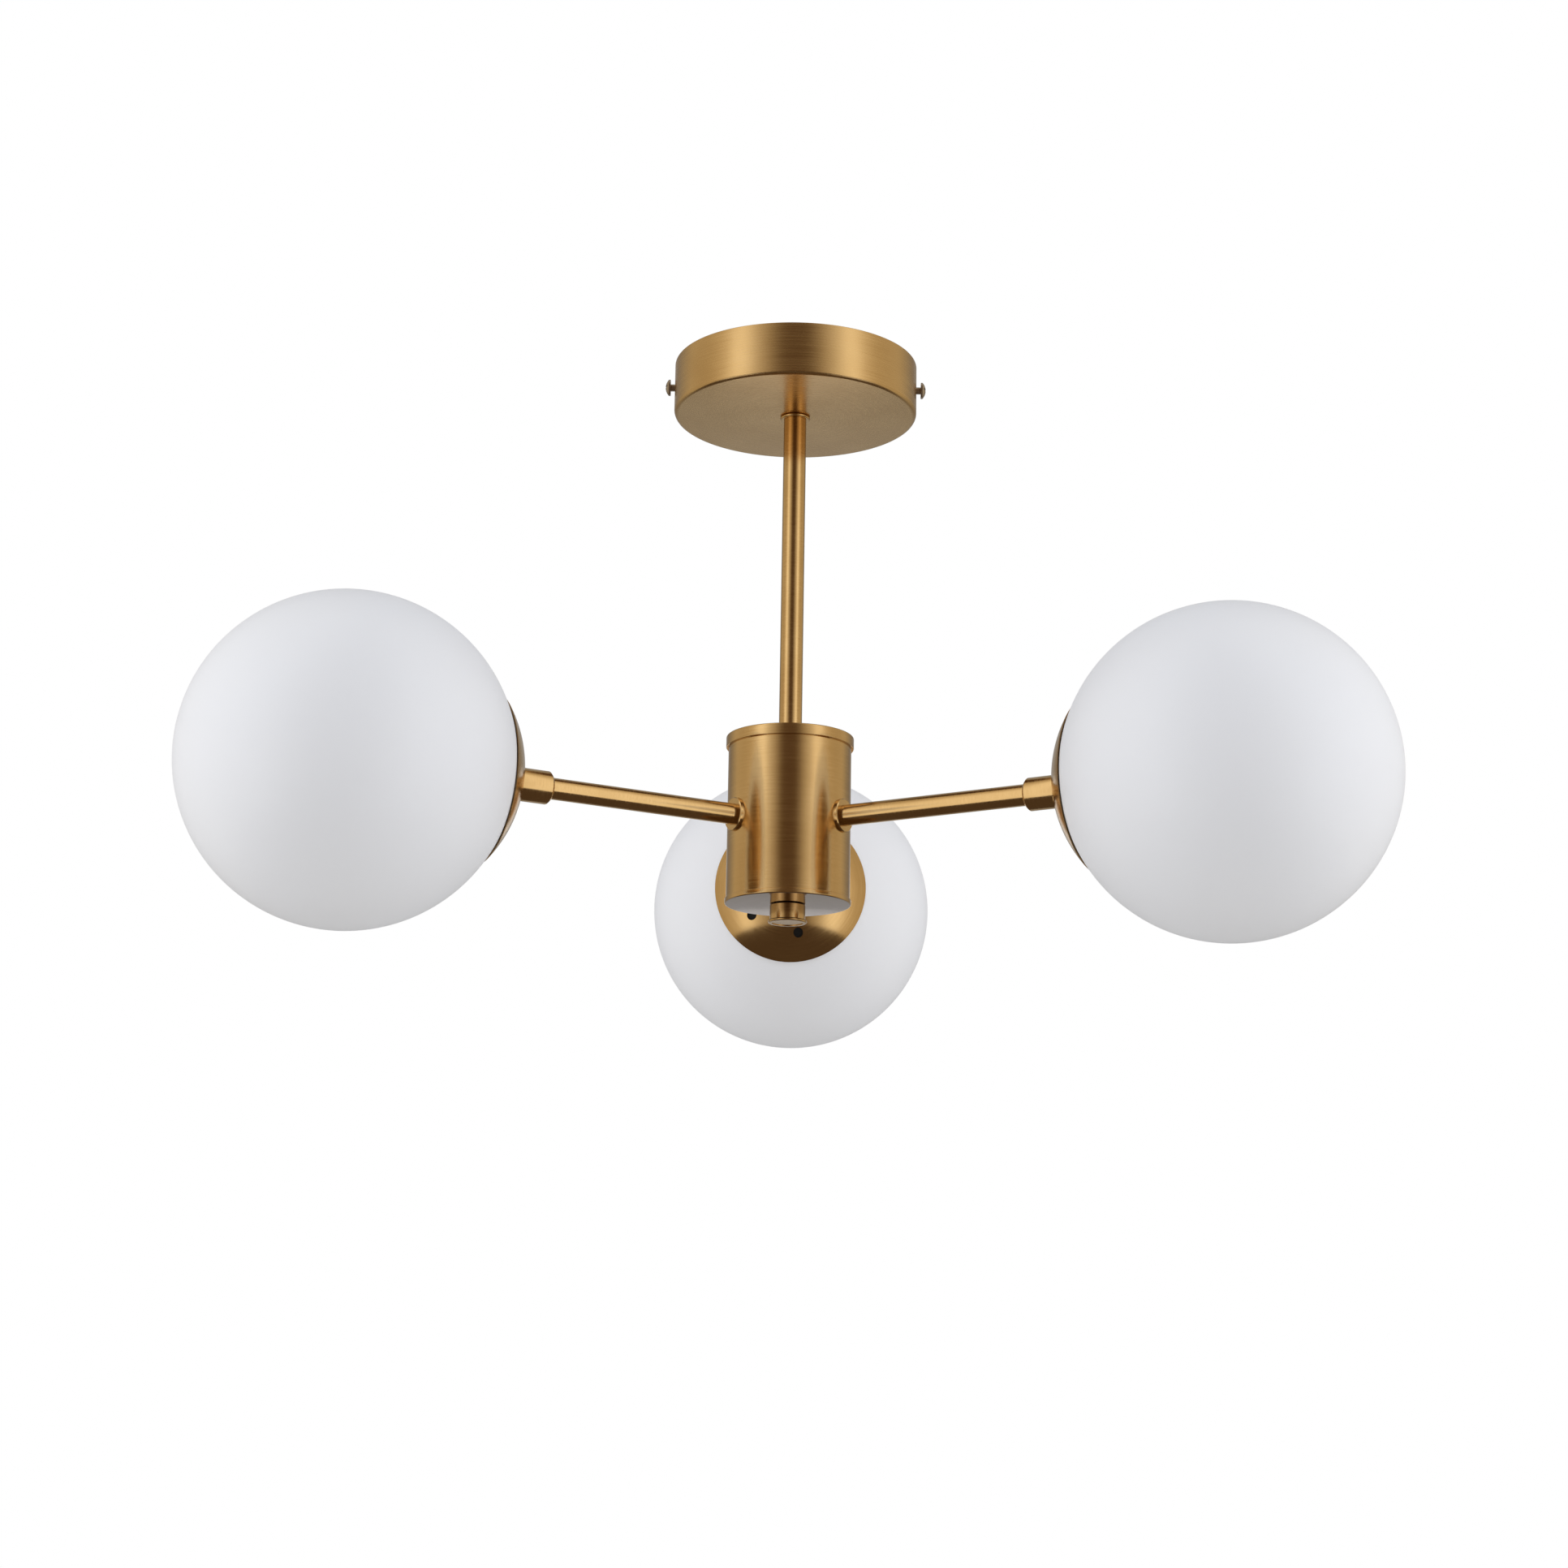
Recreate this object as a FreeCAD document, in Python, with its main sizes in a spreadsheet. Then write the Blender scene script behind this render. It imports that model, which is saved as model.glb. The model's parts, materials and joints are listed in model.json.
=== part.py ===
"""Semi flush ceiling light: a round canopy, a straight stem, a drum-shaped hub and three arms with globes.

Millimetres. The origin is the middle of the ceiling plane, +Z points up, and the light hangs down from it.
Arm 1 points along +Y. Arms 2 and 3 stand a third of a turn on, seen from above and turning to the left.
Every vertical piece is turned about Z. Every piece of an arm is turned about the arm's own axis, which is
drawn along X from the hub's centre line and then swung round to its arm.
"""

import FreeCAD
import Part
import Sketcher
import math
import os

SHEET = "Sizes"
ARM_COUNT = 3
FIRST_ARM_DEG = 90.0
NUT_SIDES = 6
VENT_COUNT = 6

# Driving dimensions: alias, value, meaning.
DIMENSIONS = (
    ("slip", 0.05, "clearance round a shaft or thread, on the radius"),
    ("seat_gap", 0.1, "clearance between faces that seat on each other"),
    ("finial_gap", 0.3, "hub bottom plate to the finial"),
    ("thread_radius", 4.0, "threaded tubes that join the pieces"),
    ("thread_bore_radius", 3.0, "wire way in the threaded tubes"),
    ("nut_radius", 7.5, "lock nuts, over the corners"),
    ("nut_height", 5.0, "lock nuts"),
    ("canopy_radius", 59.4, "canopy, outside"),
    ("canopy_depth", 25.7, "canopy, ceiling to underside"),
    ("canopy_wall", 1.0, "canopy sheet"),
    ("canopy_edge_radius", 2.2, "round edge of the canopy's underside"),
    ("screw_drop", 11.0, "ceiling to the canopy screws"),
    ("screw_radius", 1.75, "canopy screw shank"),
    ("screw_head_radius", 4.0, "canopy screw head"),
    ("screw_head_height", 2.4, "canopy screw head, over its dome"),
    ("screw_head_rim", 0.8, "canopy screw head, thickness at its rim"),
    ("screw_standoff", 2.2, "canopy wall to the underside of a screw head"),
    ("screw_reach", 4.5, "shank end past the bracket tab"),
    ("screw_slot", 1.0, "driving slot, width and depth"),
    ("tab_clearance", 2.4, "inside of the canopy to a bracket tab"),
    ("bracket_width", 20.0, "bracket strip"),
    ("bracket_sheet", 1.5, "bracket strip"),
    ("bracket_tab_drop", 17.0, "ceiling to the end of a tab"),
    ("window_long", 16.0, "cable window in the bracket, along it"),
    ("window_wide", 10.0, "cable window in the bracket, across it"),
    ("slot_spacing", 70.0, "between the middles of the two ceiling slots"),
    ("slot_width", 5.2, "ceiling slot"),
    ("slot_length", 12.0, "ceiling slot, over its round ends"),
    ("earth_place", 20.0, "bracket middle to the earth screw"),
    ("earth_radius", 2.0, "earth screw shank"),
    ("earth_head_radius", 3.6, "earth screw head"),
    ("earth_head_height", 2.4, "earth screw head"),
    ("block_start", 11.0, "bracket middle to the terminal block"),
    ("block_length", 14.0, "terminal block"),
    ("block_width", 18.0, "terminal block"),
    ("block_height", 11.0, "terminal block"),
    ("block_entry_radius", 1.8, "wire entries of the terminal block"),
    ("block_entry_pitch", 9.0, "between the wire entries"),
    ("stem_radius", 5.5, "stem tube, outside"),
    ("stem_washer_radius", 7.3, "bead between canopy and stem"),
    ("stem_washer_height", 1.5, "bead between canopy and stem"),
    ("stem_length", 161.0, "stem tube"),
    ("stem_thread_depth", 17.8, "upper threaded tube inside the stem"),
    ("nipple_stand", 3.7, "upper threaded tube past its nut"),
    ("hub_radius", 29.3, "hub shell, outside"),
    ("hub_wall", 1.2, "hub shell"),
    ("hub_cap_radius", 30.5, "hub cap, outside"),
    ("hub_cap_height", 5.3, "hub cap"),
    ("hub_cap_top", 1.2, "hub cap, thickness of its top"),
    ("hub_edge_radius", 0.7, "round edge of the hub's cap and bottom plate"),
    ("hub_shell_length", 77.6, "hub shell"),
    ("hub_plate_radius", 29.9, "hub bottom plate"),
    ("hub_plate_height", 2.4, "hub bottom plate"),
    ("hub_plate_step", 3.1, "bottom plate's spigot inside the shell"),
    ("tie_rise", 10.2, "hub's threaded tube inside the stem"),
    ("tie_window_width", 4.0, "wire window in the hub's threaded tube"),
    ("tie_window_height", 16.0, "wire window in the hub's threaded tube"),
    ("finial_radius", 8.4, "finial, under the hub"),
    ("finial_lip_radius", 9.2, "finial, over its rolled lip"),
    ("finial_lip_height", 1.4, "rolled lip"),
    ("finial_foot_radius", 7.3, "finial's flat face"),
    ("finial_height", 8.5, "finial"),
    ("finial_thread_depth", 5.0, "threaded tube inside the finial"),
    ("arm_drop", 229.2, "ceiling to the axes of the arms"),
    ("arm_radius", 5.0, "arm tube, outside"),
    ("arm_bore_radius", 4.2, "arm tube, inside"),
    ("arm_start", 20.0, "hub axis to the arm tube's inner end"),
    ("arm_nut_radius", 8.0, "arm nut, over the corners"),
    ("arm_nut_height", 4.0, "arm nut"),
    ("ring_radius", 8.0, "ring where an arm leaves the hub"),
    ("ring_stand", 1.3, "ring, past the hub shell"),
    ("ring_chamfer", 0.4, "ring"),
    ("collar_radius", 7.65, "collar between arm and cup"),
    ("collar_length", 17.7, "collar"),
    ("collar_overlap", 6.0, "arm tube inside the collar"),
    ("collar_chamfer", 1.0, "collar"),
    ("holder_nipple_start", 1.2, "arm tube's outer end to the threaded tube of the cup"),
    ("globe_reach", 223.5, "hub axis to a globe's centre"),
    ("globe_radius", 75.0, "globe, outside"),
    ("globe_wall", 3.0, "globe glass"),
    ("globe_lift", 5.0, "globe's surface to the back of the cup"),
    ("globe_hole_radius", 18.6, "hole in the globe"),
    ("cup_rim_radius", 39.8, "cup, over the rim"),
    ("cup_wall", 0.8, "cup sheet"),
    ("cup_centre", 20.7, "globe's centre to the centre of the cup's curve"),
    ("vent_radius", 2.5, "vent holes in the cup"),
    ("vent_place", 26.0, "arm axis to a vent hole"),
    ("vent_turn", -10.0, "degrees from straight down to the first vent hole, to the left seen from the hub"),
    ("holder_nut_height", 3.4, "nut inside the cup"),
    ("gasket_inner_radius", 22.0, "gasket between cup and globe"),
    ("gasket_outer_radius", 33.0, "gasket between cup and globe"),
    ("gasket_gap", 0.2, "gasket to cup and to glass"),
    ("spigot_radius", 16.0, "threaded spigot that a globe screws onto"),
    ("spigot_wall", 2.0, "spigot, wall and base"),
    ("spigot_height", 13.4, "spigot"),
    ("thread_ring_bore", 16.1, "ring bonded into the globe, inside"),
    ("thread_ring_radius", 18.5, "ring bonded into the globe, outside"),
    ("flange_radius", 21.0, "flange of that ring"),
    ("flange_gap", 0.24, "rim of the globe's hole to the flange"),
    ("flange_height", 1.3, "flange of that ring"),
    ("thread_ring_height", 10.7, "ring bonded into the globe"),
    ("lamp_holder_radius", 9.5, "lamp holder"),
    ("lamp_holder_length", 19.3, "lamp holder"),
    ("lamp_holder_thread_depth", 5.3, "threaded tube inside the lamp holder"),
    ("pin_radius", 0.6, "pins of the bulb"),
    ("pin_length", 7.2, "pins of the bulb"),
    ("pin_spacing", 9.0, "between the pins"),
    ("pin_end_gap", 1.0, "pins to the bottoms of their holes"),
    ("bulb_base_radius", 7.8, "base of the bulb"),
    ("bulb_base_height", 11.8, "base of the bulb"),
    ("bulb_radius", 7.6, "envelope of the bulb"),
    ("bulb_length", 30.0, "envelope of the bulb"),
)

doc = FreeCAD.newDocument("CeilingLight")


class Size:
    """A size that knows its value and the sheet expression that it comes from."""

    def __init__(self, value, text):
        self.value = value
        self.text = text

    def __add__(self, other):
        other = as_size(other)
        return Size(self.value + other.value, f"({self.text} + {other.text})")

    def __sub__(self, other):
        other = as_size(other)
        return Size(self.value - other.value, f"({self.text} - {other.text})")

    def __mul__(self, other):
        other = as_size(other)
        return Size(self.value * other.value, f"({self.text} * {other.text})")

    def __truediv__(self, other):
        other = as_size(other)
        return Size(self.value / other.value, f"({self.text} / {other.text})")

    def __neg__(self):
        return Size(-self.value, f"(0 - {self.text})")


def as_size(number):
    """A plain number as a size, and a size as it is."""
    return number if isinstance(number, Size) else Size(float(number), f"{number:.9f}")


def root(square):
    """The square root of a size."""
    return Size(math.sqrt(square.value), f"sqrt({square.text})")


def sheet_of_sizes():
    """Writes the driving dimensions to the spreadsheet and returns them by alias."""
    sheet = doc.addObject("Spreadsheet::Sheet", SHEET)
    sizes = {}
    for row, (alias, value, meaning) in enumerate(DIMENSIONS, start=1):
        sheet.set(f"A{row}", meaning)
        sheet.set(f"B{row}", str(value))
        sheet.setAlias(f"B{row}", alias)
        sizes[alias] = Size(float(value), f"{SHEET}.{alias}")
    doc.recompute()
    return sizes


S = sheet_of_sizes()

# The outside of a bracket tab, from the middle of the bracket.
TAB_FACE = S["canopy_radius"] - S["canopy_wall"] - S["tab_clearance"]

# Heights, from the ceiling down.
CANOPY_BASE = -S["canopy_depth"]
STEM_TOP = CANOPY_BASE - S["stem_washer_height"]
HUB_TOP = STEM_TOP - S["stem_length"]
SHELL_TOP = HUB_TOP - S["hub_cap_top"]
SHELL_END = SHELL_TOP - S["hub_shell_length"]
HUB_END = SHELL_END - S["hub_plate_height"]
FINIAL_TOP = HUB_END - S["finial_gap"]
FINIAL_END = FINIAL_TOP - S["finial_height"]
ARM_HEIGHT = -S["arm_drop"]

# Places along an arm, from the hub's axis out.
SHELL_BORE = S["hub_radius"] - S["hub_wall"]
ARM_NUT_FACE = root(SHELL_BORE * SHELL_BORE - S["arm_nut_radius"] * S["arm_nut_radius"]) - S["seat_gap"]
RING_END = S["hub_radius"] + S["ring_stand"]
CUP_BACK = S["globe_reach"] - S["globe_radius"] - S["globe_lift"]
COLLAR_START = CUP_BACK - S["collar_length"]
ARM_END = COLLAR_START + S["collar_overlap"]
CUP_CENTRE = S["globe_reach"] - S["cup_centre"]
CUP_CURVE = CUP_CENTRE - CUP_BACK
CUP_INSIDE = CUP_CURVE - S["cup_wall"]
RIM_SPAN = root(CUP_CURVE * CUP_CURVE - S["cup_rim_radius"] * S["cup_rim_radius"])
RIM_PLANE = CUP_CENTRE - RIM_SPAN
RIM_BORE = root(CUP_INSIDE * CUP_INSIDE - RIM_SPAN * RIM_SPAN)
NUT_SEAT = CUP_CENTRE - root(CUP_INSIDE * CUP_INSIDE - S["nut_radius"] * S["nut_radius"]) + S["seat_gap"]
SPIGOT_START = NUT_SEAT + S["holder_nut_height"] + S["seat_gap"]
SPIGOT_FACE = SPIGOT_START + S["spigot_wall"]
HOLDER_START = SPIGOT_FACE + S["seat_gap"]
HOLDER_END = HOLDER_START + S["lamp_holder_length"]
BULB_START = HOLDER_END + S["gasket_gap"]

THREAD_HOLE = S["thread_radius"] + S["slip"]


def behind(centre, sphere, radius):
    """Where along the arm a sphere's hubward face is, at a distance from the arm's axis."""
    return centre - root(sphere * sphere - radius * radius)


class Line:
    """A straight step of an outline."""

    def __init__(self, x, y):
        self.x, self.y = as_size(x), as_size(y)


class Bend(Line):
    """A round step of an outline, about a centre that is on the axis (centre_y 0) or at a given place."""

    def __init__(self, x, y, centre_x, centre_y=0, clockwise=False):
        super().__init__(x, y)
        self.centre_x, self.centre_y = as_size(centre_x), as_size(centre_y)
        self.clockwise = clockwise


def constrain(sketch, kind, geometry, point, size, axis):
    """Holds one coordinate of a point at a size, or on the axis where the size is nought."""
    if size.value == 0:
        sketch.addConstraint(Sketcher.Constraint("PointOnObject", geometry, point, axis))
        return
    index = sketch.addConstraint(Sketcher.Constraint(kind, -1, 1, geometry, point, size.value))
    sketch.setExpression(f"Constraints[{index}]", size.text)


def draw(sketch, *steps):
    """Draws a closed outline through the steps; the last one is where it starts."""
    here, ends = steps[-1], []
    for step in steps:
        start, end = (FreeCAD.Vector(p.x.value, p.y.value, 0) for p in (here, step))
        if isinstance(step, Bend):
            middle = FreeCAD.Vector(step.centre_x.value, step.centre_y.value, 0)
            low, high = (end, start) if step.clockwise else (start, end)
            angles = [math.atan2(p.y - middle.y, p.x - middle.x) for p in (low, high)]
            circle = Part.Circle(middle, FreeCAD.Vector(0, 0, 1), (start - middle).Length)
            index = sketch.addGeometry(Part.ArcOfCircle(circle, *angles))
            ends.append((index, 2, 1) if step.clockwise else (index, 1, 2))
        else:
            index = sketch.addGeometry(Part.LineSegment(start, end))
            ends.append((index, 1, 2))
        here = step
    for number, step in enumerate(steps):
        index, _, last = ends[number]
        following, first, _ = ends[(number + 1) % len(steps)]
        sketch.addConstraint(Sketcher.Constraint("Coincident", index, last, following, first))
        constrain(sketch, "DistanceX", index, last, step.x, -2)
        constrain(sketch, "DistanceY", index, last, step.y, -1)
        if not isinstance(step, Bend):
            continue
        upright_chord = abs(steps[number - 1].x.value - step.x.value) < 1e-9
        if step.centre_y.value == 0 and not upright_chord:
            sketch.addConstraint(Sketcher.Constraint("PointOnObject", index, 3, -1))
        else:
            constrain(sketch, "DistanceX", index, 3, step.centre_x, -2)


def draw_circle(sketch, x, y, radius):
    """Draws a circle with its centre and radius tied to sizes."""
    x, y, radius = as_size(x), as_size(y), as_size(radius)
    middle = FreeCAD.Vector(x.value, y.value, 0)
    index = sketch.addGeometry(Part.Circle(middle, FreeCAD.Vector(0, 0, 1), radius.value))
    constrain(sketch, "DistanceX", index, 3, x, -2)
    constrain(sketch, "DistanceY", index, 3, y, -1)
    held = sketch.addConstraint(Sketcher.Constraint("Radius", index, radius.value))
    sketch.setExpression(f"Constraints[{held}]", radius.text)


def new_body(label):
    """An empty body whose label is its node's name."""
    body = doc.addObject("PartDesign::Body", label)
    body.Label = label
    return body


def new_sketch(body, plane):
    """A sketch on one of the body's own origin planes."""
    sketch = body.newObject("Sketcher::SketchObject", f"{body.Name}_outline")
    face = next(item for item in body.Origin.OriginFeatures if item.Role == plane)
    sketch.AttachmentSupport = [(face, "")]
    sketch.MapMode = "FlatFace"
    return sketch


def turned(label, *steps, upright=True):
    """A body turned from an outline: about Z, or about X where it isn't upright."""
    body = new_body(label)
    sketch = new_sketch(body, "XZ_Plane")
    draw(sketch, *steps)
    turn = body.newObject("PartDesign::Revolution", f"{label}_turn")
    turn.Profile = sketch
    turn.ReferenceAxis = (sketch, ["V_Axis" if upright else "H_Axis"])
    turn.Angle = 360
    return body


def tube(label, inside, outside, start, end, upright=True):
    """A plain tube between two places along its axis."""
    corners = [(inside, start), (outside, start), (outside, end), (inside, end)]
    if not upright:
        corners = [(place, radius) for radius, place in corners]
    return turned(label, *(Line(x, y) for x, y in corners), upright=upright)


def padded(label, plane, length, *steps):
    """A body padded both ways from an outline."""
    body = new_body(label)
    sketch = new_sketch(body, plane)
    draw(sketch, *steps)
    pad = body.newObject("PartDesign::Pad", f"{label}_pad")
    pad.Profile = sketch
    pad.Midplane = True
    pad.setExpression("Length", length.text)
    return body


def pierced(body, plane, *circles):
    """Cuts round holes right through a body, square to one of its planes."""
    doc.recompute()
    before = body.Shape.Volume
    sketch = new_sketch(body, plane)
    for x, y, radius in circles:
        draw_circle(sketch, x, y, radius)
    hole = body.newObject("PartDesign::Pocket", f"{body.Name}_hole")
    hole.Profile = sketch
    hole.Type = "ThroughAll"
    hole.Midplane = True
    doc.recompute()
    if not body.Shape.Volume < before:
        raise RuntimeError(f"{body.Label}: the holes cut nothing")
    return body


def swung(piece, azimuth):
    """Takes a piece that is drawn along X to its arm."""
    piece.Placement = FreeCAD.Placement(
        FreeCAD.Vector(0, 0, ARM_HEIGHT.value), FreeCAD.Rotation(FreeCAD.Vector(0, 0, 1), azimuth)
    )
    piece.setExpression("Placement.Base.z", ARM_HEIGHT.text)
    return piece


def placed(piece, rotation, x, y, z):
    """Sets a piece at a place whose coordinates are sizes."""
    sizes = [as_size(value) for value in (x, y, z)]
    piece.Placement = FreeCAD.Placement(FreeCAD.Vector(*(size.value for size in sizes)), rotation)
    for axis, size in zip("xyz", sizes):
        piece.setExpression(f"Placement.Base.{axis}", size.text)
    return piece


def nut(label, corner_radius, height, hole_radius):
    """A six-sided nut that stands on the XY plane."""
    prism = doc.addObject("Part::Prism", f"{label}_prism")
    prism.Polygon = NUT_SIDES
    prism.setExpression("Circumradius", corner_radius.text)
    prism.setExpression("Height", height.text)
    bore = doc.addObject("Part::Cylinder", f"{label}_bore")
    bore.setExpression("Radius", hole_radius.text)
    bore.setExpression("Height", height.text)
    made = doc.addObject("Part::Cut", label)
    made.Label = label
    made.Base, made.Tool = prism, bore
    return made


UPRIGHT = FreeCAD.Rotation()
ALONG = FreeCAD.Rotation(FreeCAD.Vector(0, 1, 0), 90)


def cut_from(label, base, tool):
    """One piece less another, as a node."""
    made = doc.addObject("Part::Cut", label)
    made.Label = label
    made.Base, made.Tool = base, tool
    return made


def along_arm(piece, azimuth, start):
    """Turns an upright piece to lie along its arm, from a place on it outwards."""
    east, north = (round(turn(math.radians(azimuth)), 12) for turn in (math.cos, math.sin))
    outward = FreeCAD.Rotation(FreeCAD.Vector(0, 0, 1), azimuth).multiply(ALONG)
    return placed(piece, outward, start * east, start * north, ARM_HEIGHT)


def draw_slot(sketch, x, y, width, length):
    """Draws a slot with round ends that lies along X."""
    half, reach = width / 2, (length - width) / 2
    left, right = as_size(x) - reach, as_size(x) + reach
    low, high = as_size(y) - half, as_size(y) + half
    draw(sketch, Line(right, low), Bend(right, high, right, y), Line(left, high), Bend(left, low, left, y))


def pocket_through(body, sketch, name):
    """Cuts a sketch right through a body, and makes sure that it cuts."""
    before = body.Shape.Volume
    pocket = body.newObject("PartDesign::Pocket", f"{body.Name}_{name}")
    pocket.Profile = sketch
    pocket.Type = "ThroughAll"
    pocket.Midplane = True
    doc.recompute()
    if not body.Shape.Volume < before:
        raise RuntimeError(f"{body.Label}: {name} cuts nothing")
    return pocket


def make_bracket():
    """The steel strip that is screwed to the ceiling, with a tab bent down at each end."""
    half, sheet = TAB_FACE, S["bracket_sheet"]
    tab, inside = -S["bracket_tab_drop"], TAB_FACE - S["bracket_sheet"]
    bracket = padded(
        "ceiling_bracket",
        "XZ_Plane",
        S["bracket_width"],
        Line(-half, 0),
        Line(-half, tab),
        Line(-inside, tab),
        Line(-inside, -sheet),
        Line(inside, -sheet),
        Line(inside, tab),
        Line(half, tab),
        Line(half, 0),
    )
    doc.recompute()
    slots = new_sketch(bracket, "XY_Plane")
    for side in (-1, 1):
        draw_slot(slots, S["slot_spacing"] / 2 * side, 0, S["slot_width"], S["slot_length"])
    pocket_through(bracket, slots, "slots")
    window = new_sketch(bracket, "XY_Plane")
    long, wide = S["window_long"] / 2, S["window_wide"] / 2
    draw(window, Line(-long, -wide), Line(long, -wide), Line(long, wide), Line(-long, wide))
    pocket_through(bracket, window, "window")
    pierced(bracket, "XY_Plane", (-S["earth_place"], 0, S["earth_radius"] + S["slip"]))
    pierced(bracket, "YZ_Plane", (0, -S["screw_drop"], S["screw_radius"] + S["slip"]))


def make_earth_screw():
    """The earth screw, whose head hangs below the bracket."""
    shank, head = S["earth_radius"], S["earth_head_radius"]
    under = -S["bracket_sheet"] - S["seat_gap"]
    end = under - S["earth_head_height"]
    screw = turned(
        "earth_screw",
        Line(0, end),
        Line(head, end),
        Line(head, under),
        Line(shank, under),
        Line(shank, -S["seat_gap"]),
        Line(0, -S["seat_gap"]),
    )
    placed(screw, UPRIGHT, -S["earth_place"], 0, 0)


def make_terminal_block():
    """The block under the bracket where the wires are joined, with its wire entries."""
    start, top = S["block_start"], -S["bracket_sheet"] - S["seat_gap"]
    end, foot = start + S["block_length"], top - S["block_height"]
    block = padded(
        "terminal_block",
        "XZ_Plane",
        S["block_width"],
        Line(start, foot),
        Line(end, foot),
        Line(end, top),
        Line(start, top),
    )
    middle, side = top - S["block_height"] / 2, S["block_entry_pitch"] / 2
    pierced(block, "YZ_Plane", *((y, middle, S["block_entry_radius"]) for y in (side, -side)))


def make_canopy():
    """The spun metal canopy, open at the ceiling, with a hole for each screw."""
    outside, base = S["canopy_radius"], CANOPY_BASE
    wall, edge = S["canopy_wall"], S["canopy_edge_radius"]
    bend_x, bend_z = outside - edge, base + edge
    canopy = turned(
        "canopy",
        Line(outside, 0),
        Line(outside - wall, 0),
        Line(outside - wall, bend_z),
        Bend(bend_x, base + wall, bend_x, bend_z, clockwise=True),
        Line(THREAD_HOLE, base + wall),
        Line(THREAD_HOLE, base),
        Line(bend_x, base),
        Bend(outside, bend_z, bend_x, bend_z),
    )
    pierced(canopy, "YZ_Plane", (0, -S["screw_drop"], S["screw_radius"] + S["slip"]))


def make_canopy_screw(label, rotation):
    """A slotted screw through the canopy's wall into a bracket tab."""
    shank, head = S["screw_radius"], S["screw_head_radius"]
    tip = TAB_FACE - S["bracket_sheet"] - S["screw_reach"]
    under = S["canopy_radius"] + S["screw_standoff"]
    top = under + S["screw_head_height"]
    rim = under + S["screw_head_rim"]
    rise = top - rim
    dome = (head * head + rise * rise) / (rise * 2)
    screw = turned(
        label,
        Line(tip, 0),
        Line(top, 0),
        Bend(rim, head, top - dome, 0),
        Line(under, head),
        Line(under, shank),
        Line(tip, shank),
        upright=False,
    )
    doc.recompute()
    slot = new_sketch(screw, "XZ_Plane")
    half, floor = S["screw_slot"] / 2, top - S["screw_slot"]
    past = top + S["screw_slot"]
    draw(slot, Line(floor, -half), Line(past, -half), Line(past, half), Line(floor, half))
    pocket_through(screw, slot, "slot")
    placed(screw, rotation, 0, 0, -S["screw_drop"])


def make_stem():
    """The stem, its bead, and the threaded tube and nut that hold it to the canopy."""
    floor = CANOPY_BASE + S["canopy_wall"]
    nut_top = floor + S["nut_height"]
    placed(nut("canopy_nut", S["nut_radius"], S["nut_height"], THREAD_HOLE), UPRIGHT, 0, 0, floor)
    low, high = STEM_TOP - S["stem_thread_depth"], nut_top + S["nipple_stand"]
    tube("stem_top_nipple", S["thread_bore_radius"], S["thread_radius"], low, high)
    middle = CANOPY_BASE - S["stem_washer_height"] / 2
    flat = S["stem_washer_radius"] - S["stem_washer_height"] / 2
    turned(
        "stem_washer",
        Line(THREAD_HOLE, STEM_TOP),
        Line(flat, STEM_TOP),
        Bend(flat, CANOPY_BASE, flat, middle),
        Line(THREAD_HOLE, CANOPY_BASE),
    )
    tube("stem_tube", THREAD_HOLE, S["stem_radius"], HUB_TOP, STEM_TOP)


def make_hub():
    """The hub: cap, shell, bottom plate, and the threaded tube with its nuts."""
    cap, edge, hole = S["hub_cap_radius"], S["hub_edge_radius"], THREAD_HOLE
    skirt, lip = S["hub_radius"] + S["slip"], HUB_TOP - S["hub_cap_height"]
    turned(
        "hub_cap",
        Line(hole, HUB_TOP),
        Line(hole, SHELL_TOP),
        Line(skirt, SHELL_TOP),
        Line(skirt, lip),
        Line(cap, lip),
        Line(cap, HUB_TOP - edge),
        Bend(cap - edge, HUB_TOP, cap - edge, HUB_TOP - edge),
    )
    plate, spigot, step = S["hub_plate_radius"], SHELL_BORE - S["slip"], SHELL_END + S["hub_plate_step"]
    turned(
        "hub_bottom_plate",
        Line(hole, HUB_END),
        Line(plate - edge, HUB_END),
        Bend(plate, HUB_END + edge, plate - edge, HUB_END + edge),
        Line(plate, SHELL_END),
        Line(spigot, SHELL_END),
        Line(spigot, step),
        Line(spigot - S["hub_wall"], step),
        Line(spigot - S["hub_wall"], SHELL_END),
        Line(hole, SHELL_END),
    )
    for label, height in (("hub_top_nut", SHELL_TOP - S["nut_height"]), ("hub_bottom_nut", SHELL_END)):
        placed(nut(label, S["nut_radius"], S["nut_height"], THREAD_HOLE), UPRIGHT, 0, 0, height)
    low, high = FINIAL_TOP - S["finial_thread_depth"], HUB_TOP + S["tie_rise"]
    tie = tube("hub_tie_tube", S["thread_bore_radius"], S["thread_radius"], low, high)
    doc.recompute()
    window = new_sketch(tie, "XZ_Plane")
    half, tall = S["tie_window_width"] / 2, S["tie_window_height"] / 2
    low, high = ARM_HEIGHT - tall, ARM_HEIGHT + tall
    draw(window, Line(-half, low), Line(half, low), Line(half, high), Line(-half, high))
    pocket_through(tie, window, "window")


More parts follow.
